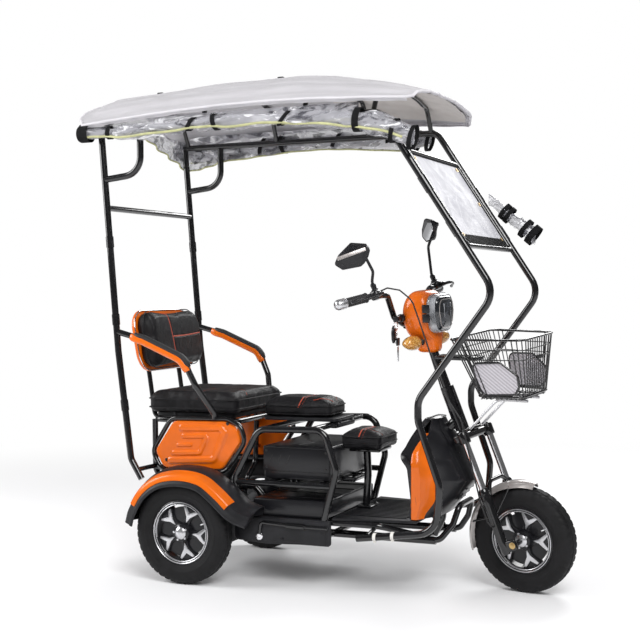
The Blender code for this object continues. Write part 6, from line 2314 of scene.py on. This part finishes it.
def headlamp():
    """Orange cowl, the clear rounded lamp with its bezel and dark lens."""
    rings = []
    for z, back, ahead, half in COWL_ROWS:
        ring = []
        for step in range(48):
            turn = 2 * pi * step / 48
            shape = (abs(cos(turn)) ** 0.75, abs(sin(turn)) ** 0.75)
            x = shape[0] * (ahead if cos(turn) > 0 else -back) * (1 if cos(turn) > 0 else -1)
            y = shape[1] * half * (1 if sin(turn) > 0 else -1)
            fold = 0.003 * bump(z, 0.055, 0.014) if x < 0.03 else 0.0
            ring.append(Vector((x, y * (1 - fold / half), z)))
        rings.append(ring)
    cowl = merged(capped("headlamp_cowl_look", rings))
    subdivided(cowl)
    dress(cowl, "steering", "orange_paint", ["headlamp_cowl"], 50, LAMP)
    outline = flat_outline([(-0.052, -0.068), (0.052, -0.068), (0.069, 0.010), (0.062, 0.070),
                            (-0.062, 0.070), (-0.069, 0.010)], 0.036, 8)
    centre_z = 0.030

    def rim(scale, x):
        return [Vector((x, y * scale, centre_z + z * scale)) for y, z in outline]

    # scale, place ahead
    levels = ((0.92, 0.044), (1.0, 0.048), (1.03, 0.060), (1.0, 0.072), (0.95, 0.080), (0.90, 0.079),
              (0.88, 0.070), (0.88, 0.044), (0.92, 0.044))
    bezel = merged(lofted("bezel", [rim(*level) for level in levels]))
    bezel.name = "lamp_bezel"
    dress(bezel, "steering", "clear_shell", angle=50, matrix=LAMP)
    levels = ((0.74, 0.0890), (0.76, 0.0905), (0.72, 0.0922), (0.70, 0.0905), (0.72, 0.0885), (0.74, 0.0890))
    trim = merged(lofted("trim", [rim(*level) for level in levels]))
    trim.name = "lamp_trim"
    dress(trim, "steering", "silver_paint", angle=50, matrix=LAMP)
    levels = ((0.89, 0.040), (0.90, 0.078), (0.84, 0.086), (0.70, 0.0915), (0.40, 0.0950), (0.15, 0.0960))
    lens = capped("headlamp_look", [rim(*level) for level in levels])
    dress(merged(lens), "steering", "lamp_glass", ["headlamp"], 50, LAMP)
    parts = []
    for y in (-0.022, 0.022):
        parts.append(block("bar", (0.004, 0.006, 0.052), (0.0940, y, centre_z + 0.012), 0.0018))
    parts.append(block("chin", (0.004, 0.050, 0.010), (0.0905, 0, centre_z - 0.040), 0.0018))
    dress(joined("lamp_bars", *parts), "steering", "clear_shell", matrix=LAMP)
    eye = turned("projector",
                 [(0.086, 0.0), (0.0945, 0.0), (0.0955, 0.010), (0.0935, 0.0175), (0.088, 0.0190)], 40, "X")
    dress(moved(eye, shifted(z=centre_z + 0.008)), "steering", "lamp_glass", angle=60, matrix=LAMP)
    vents = []
    for side in (-1, 1):
        for z in (-0.012, 0.022):
            place = (0.052, side * 0.0795, centre_z + z)
            vents.append(block("vent", (0.030, 0.004, 0.030), place, 0.0018))
    dress(joined("lamp_vents", *vents), "steering", "satin_black", matrix=LAMP)


def turn_signals():
    body = turned("signal", [(0.070, 0.0), (0.070, 0.012), (0.074, 0.019), (0.088, 0.0235), (0.104, 0.0215),
                             (0.118, 0.0150), (0.126, 0.0070), (0.128, 0.0)], 40, "Y")
    for vertex in body.data.vertices:
        x = vertex.co.x
        vertex.co.x = x * (1.20 if x > 0 else 1.60)
        vertex.co.y = 0.070 + (vertex.co.y - 0.070) * 1.35
        vertex.co.z *= 1.15 if x > 0 else 1.15 * (1 - 0.35 * clamp(-x / 0.024) ** 2)
    moved(body, shifted(0.006, 0, -0.068))
    dress_pair(body, "turn_signal", "steering", "amber_lens", "turn_signal", 50, LAMP)
    stalk = tubes("stalk", [([(0.010, 0.0462, -0.070), (0.010, 0.085, -0.070)], 0.006)])
    boot = turned("boot", [(0.0440, 0.0), (0.0440, 0.014), (0.050, 0.0125), (0.054, 0.0085), (0.058, 0.0100),
                           (0.062, 0.0080), (0.066, 0.0150), (0.0715, 0.0190), (0.0715, 0.0)], 28, "Y")
    moved(boot, shifted(0.008, 0, -0.069))
    dress_pair(joined("signal_stalk", stalk, boot), "signal_stalk", "steering", "cable_black", angle=50,
               matrix=LAMP)


BASKET_TAPER = (
    # at the floor, at the rim: rear, front, half width at the rear, half width at the front
    (0.185, 0.097), (0.345, 0.362), (0.122, 0.165), (0.098, 0.125),
)


def basket_sizes(z):
    """Rear, front and the two half widths of the basket at a height."""
    share = clamp((z + 0.010) / 0.215)
    return [mix(low, high, share) for low, high in BASKET_TAPER]


def basket_ring(z):
    """The basket's outline at a height, narrower towards the floor."""
    rear, front, rear_half, front_half = basket_sizes(z)
    corners = [(front, front_half), (rear, rear_half), (rear, -rear_half), (front, -front_half)]
    return [Vector((x, y, z)) for x, y in flat_outline(corners, 0.030, 6)]


def basket():
    """Welded wire: hoops, uprights that bend under the floor, a mesh panel on each side."""
    thin, thick = sizes().wire_radius, sizes().wire_radius * 1.9
    routes = []
    for z, radius in ((0.203, thick), (0.168, thin), (0.134, thin), (0.006, thick)):
        routes.append((basket_ring(z), radius, True))
    count = 58
    top, low = finer_ring(basket_ring(0.203), count), finer_ring(basket_ring(0.006), count)
    for index in range(count):
        if abs(top[index].y) > 0.118 and 0.160 < top[index].x < 0.318:
            continue
        foot = low[index] + Vector((0, 0, -0.010))
        inward = Vector((0.265 - foot.x, -foot.y, 0)) * 0.10
        routes.append(([top[index], low[index], foot + inward], thin))
    for step in range(9):
        x = mix(0.194, 0.336, step / 8)
        half = mix(0.114, 0.092, step / 8)
        routes.append(([(x, -half, -0.004), (x, half, -0.004)], thin))
    for y in (-0.075, -0.025, 0.025, 0.075):
        routes.append(([(0.190, y, -0.006), (0.340, y, -0.006)], thin))
    bands = []
    for side in (-1, 1):
        panel = [(0.176, 0.122), (0.276, 0.126), (0.334, 0.080), (0.336, 0.042), (0.318, 0.014),
                 (0.212, 0.010), (0.190, 0.040)]
        panel = flat_outline(panel, 0.018, 5)
        bands.append((panel, side))
        routes.append(([Vector((x, side * (wall_y(x, z) + 0.001), z)) for x, z in panel], thick, True))
    wires = tubes("basket_look", routes, 4)
    dress(wires, "steering", "gloss_black", ["basket"], 60, LEVEL)
    sheets = []
    for panel, side in bands:
        sheet = plate("mesh", panel, -0.0006, 0.0006, "XZ")
        for vertex in sheet.data.vertices:
            vertex.co.y = side * (wall_y(vertex.co.x, vertex.co.z) - 0.0012) + vertex.co.y
        sheets.append(sheet)
    dress(joined("basket_mesh_panels", *sheets), "steering", "basket_mesh", matrix=LEVEL)
    clip = block("clip", (0.008, 0.040, 0.014), (0.362, 0, 0.134), 0.003)
    dress(joined("basket_clip", clip), "steering", "cable_black", matrix=LEVEL)
    stays = []
    for side in (-1, 1):
        path = [(0.110, -0.125), (0.220, -0.0153), (0.335, -0.0153)]
        stays.append((bent([(x, side * 0.045, z) for x, z in path], 0.050), 0.005))
    stays.append(([(0.300, -0.045, -0.0153), (0.300, 0.045, -0.0153)], 0.005))
    dress(tubes("basket_stay_look", stays), "steering", "brushed_silver", ["basket_stay"], matrix=LEVEL)


def wall_y(x, z):
    """Half width of the basket's side wall at a place."""
    rear, front, rear_half, front_half = basket_sizes(z)
    return mix(rear_half, front_half, clamp((x - rear) / (front - rear)))


def finer_ring(ring, count):
    """Evenly spaced places round a closed ring."""
    loop = ring + [ring[0]]
    spans = [(b - a).length for a, b in zip(loop, loop[1:])]
    total, places, index, passed = sum(spans), [], 0, 0.0
    for step in range(count):
        target = total * step / count
        while passed + spans[index] < target:
            passed += spans[index]
            index += 1
        places.append(loop[index].lerp(loop[index + 1], (target - passed) / spans[index]))
    return places


def ignition():
    """The lock beside the lamp and the keys that hang from it on a ring."""
    lock = turned("lock", [(0.048, 0.0), (0.048, 0.012), (0.070, 0.012), (0.072, 0.015), (0.084, 0.015),
                           (0.086, 0.011), (0.108, 0.010), (0.110, 0.0)], 28, "Y")
    moved(lock, Matrix.Translation((-0.052, 0, 0.018)) @ Matrix.Rotation(pi, 4, "Z"))
    bow = block("bow", (0.020, 0.005, 0.020), (-0.052, -0.116, 0.018), 0.002, 3)
    dress(joined("ignition_lock", lock, bow), "steering", "satin_black", angle=45, matrix=LAMP)
    top = LAMP @ Vector((-0.052, -0.116, 0.010))
    ring = [top + Vector((0, 0.013 * sin(turn), -0.013 + 0.013 * cos(turn))) for turn in turns(20)]
    chain = [(ring, 0.0016, True)]
    for link in range(4):
        centre = top + Vector((0, 0, -0.026 - link * 0.009))
        across = Vector((1, 0, 0)) if link % 2 else Vector((0, 1, 0))
        oval = [centre + across * 0.0035 * sin(turn) + Vector((0, 0, 0.0065 * cos(turn)))
                for turn in turns(12)]
        chain.append((oval, 0.0014, True))
    metal = tubes("chain", chain, 6)
    blade = [(-0.0045, -0.112), (0.0045, -0.108), (0.0045, -0.074), (0.003, -0.066), (-0.003, -0.066),
             (-0.0045, -0.074)]
    key = plate("key_blade", blade, -0.001, 0.001, "YZ", 0.0004)
    moved(key, Matrix.Translation(top + Vector((0.004, 0.006, 0))))
    dress(moved(joined("key_ring", metal, key), larger(top, 1.3)), "steering", "bright_chrome", angle=45,
          matrix=IN_PLACE)
    fob = turned("fob", [(-0.060, 0.0), (-0.059, 0.006), (-0.050, 0.0105), (-0.030, 0.0120), (-0.018, 0.009),
                         (-0.012, 0.005), (-0.010, 0.0)], 28, "Z")
    fob.data.transform(Matrix.Diagonal((0.5, 1, 1, 1)))
    moved(fob, Matrix.Translation(top + Vector((-0.003, -0.009, 0))))
    head = block("key_head", (0.006, 0.019, 0.022), top + Vector((0.004, 0.006, -0.056)), 0.0025, 3)
    dress(moved(joined("key_fob", fob, head), larger(top, 1.3)), "steering", "satin_black", angle=50,
          matrix=IN_PLACE)


class TRICYCLE_OT_steering(bpy.types.Operator):
    """Fork, front wing, handlebar, mirrors, lamp, signals and basket"""

    bl_idname = "tricycle.steering"
    bl_label = "Steering"

    def execute(self, context):
        for piece in (fork, front_fender, handlebar, mirrors, headlamp, turn_signals, ignition, basket):
            piece()
        return {"FINISHED"}


# Dialogue and run

OPERATORS = (
    TRICYCLE_OT_stage, TRICYCLE_OT_tubes, TRICYCLE_OT_wheels, TRICYCLE_OT_underbody, TRICYCLE_OT_panels,
    TRICYCLE_OT_seats, TRICYCLE_OT_canopy, TRICYCLE_OT_steering,
)


class TRICYCLE_PT_build(bpy.types.Panel):
    """Lists the tricycle's pieces, with their sizes and colours"""

    bl_label = "Tricycle"
    bl_idname = "TRICYCLE_PT_build"
    bl_space_type = "VIEW_3D"
    bl_region_type = "UI"
    bl_category = "Tricycle"

    def draw(self, context):
        for group in (stage_settings(), colours(), sizes()):
            column = self.layout.column()
            for key in group.__annotations__:
                column.prop(group, key)
        for piece in OPERATORS:
            self.layout.operator(piece.bl_idname)


GROUPS = {
    "tricycle_stage": TRICYCLE_PG_stage,
    "tricycle_colours": TRICYCLE_PG_colours,
    "tricycle_sizes": TRICYCLE_PG_sizes,
}


def register():
    for kind in (*GROUPS.values(), *OPERATORS, TRICYCLE_PT_build):
        bpy.utils.register_class(kind)
    for name, group in GROUPS.items():
        setattr(bpy.types.Scene, name, bpy.props.PointerProperty(type=group))


def unregister():
    for name in GROUPS:
        delattr(bpy.types.Scene, name)
    for kind in reversed((*GROUPS.values(), *OPERATORS, TRICYCLE_PT_build)):
        bpy.utils.unregister_class(kind)


# Finishes of the CAD nodes that are not plain enamel
NODE_LOOKS = {
    "canopy": "canopy_cloth", "windscreen": "screen_vinyl",
    "headlamp": "lamp_glass", "headlamp_cowl": "orange_paint",
    "passenger_cushion": "seat_leather", "backrest_cushion": "seat_leather", "saddle_cushion": "seat_leather",
    "child_cushion": "seat_leather", "backrest_shell": "orange_paint", "curtain_roll_left": "clear_vinyl",
    "curtain_roll_right": "clear_vinyl", "front_fender": "silver_paint", "turn_signal_left": "amber_lens",
    "turn_signal_right": "amber_lens", "brake_cable": "cable_black",
}


def paint_frame():
    """Give each CAD node that is still shown a finish of its own."""
    for name, node in frame["nodes"].items():
        look = finish(NODE_LOOKS.get(name, "gloss_black"))
        node.data.materials.clear()
        node.data.materials.append(look)


def main():
    register()
    for piece in OPERATORS:
        family, name = piece.bl_idname.split(".")
        getattr(getattr(bpy.ops, family), name)()
    paint_frame()


if __name__ == "__main__":
    main()
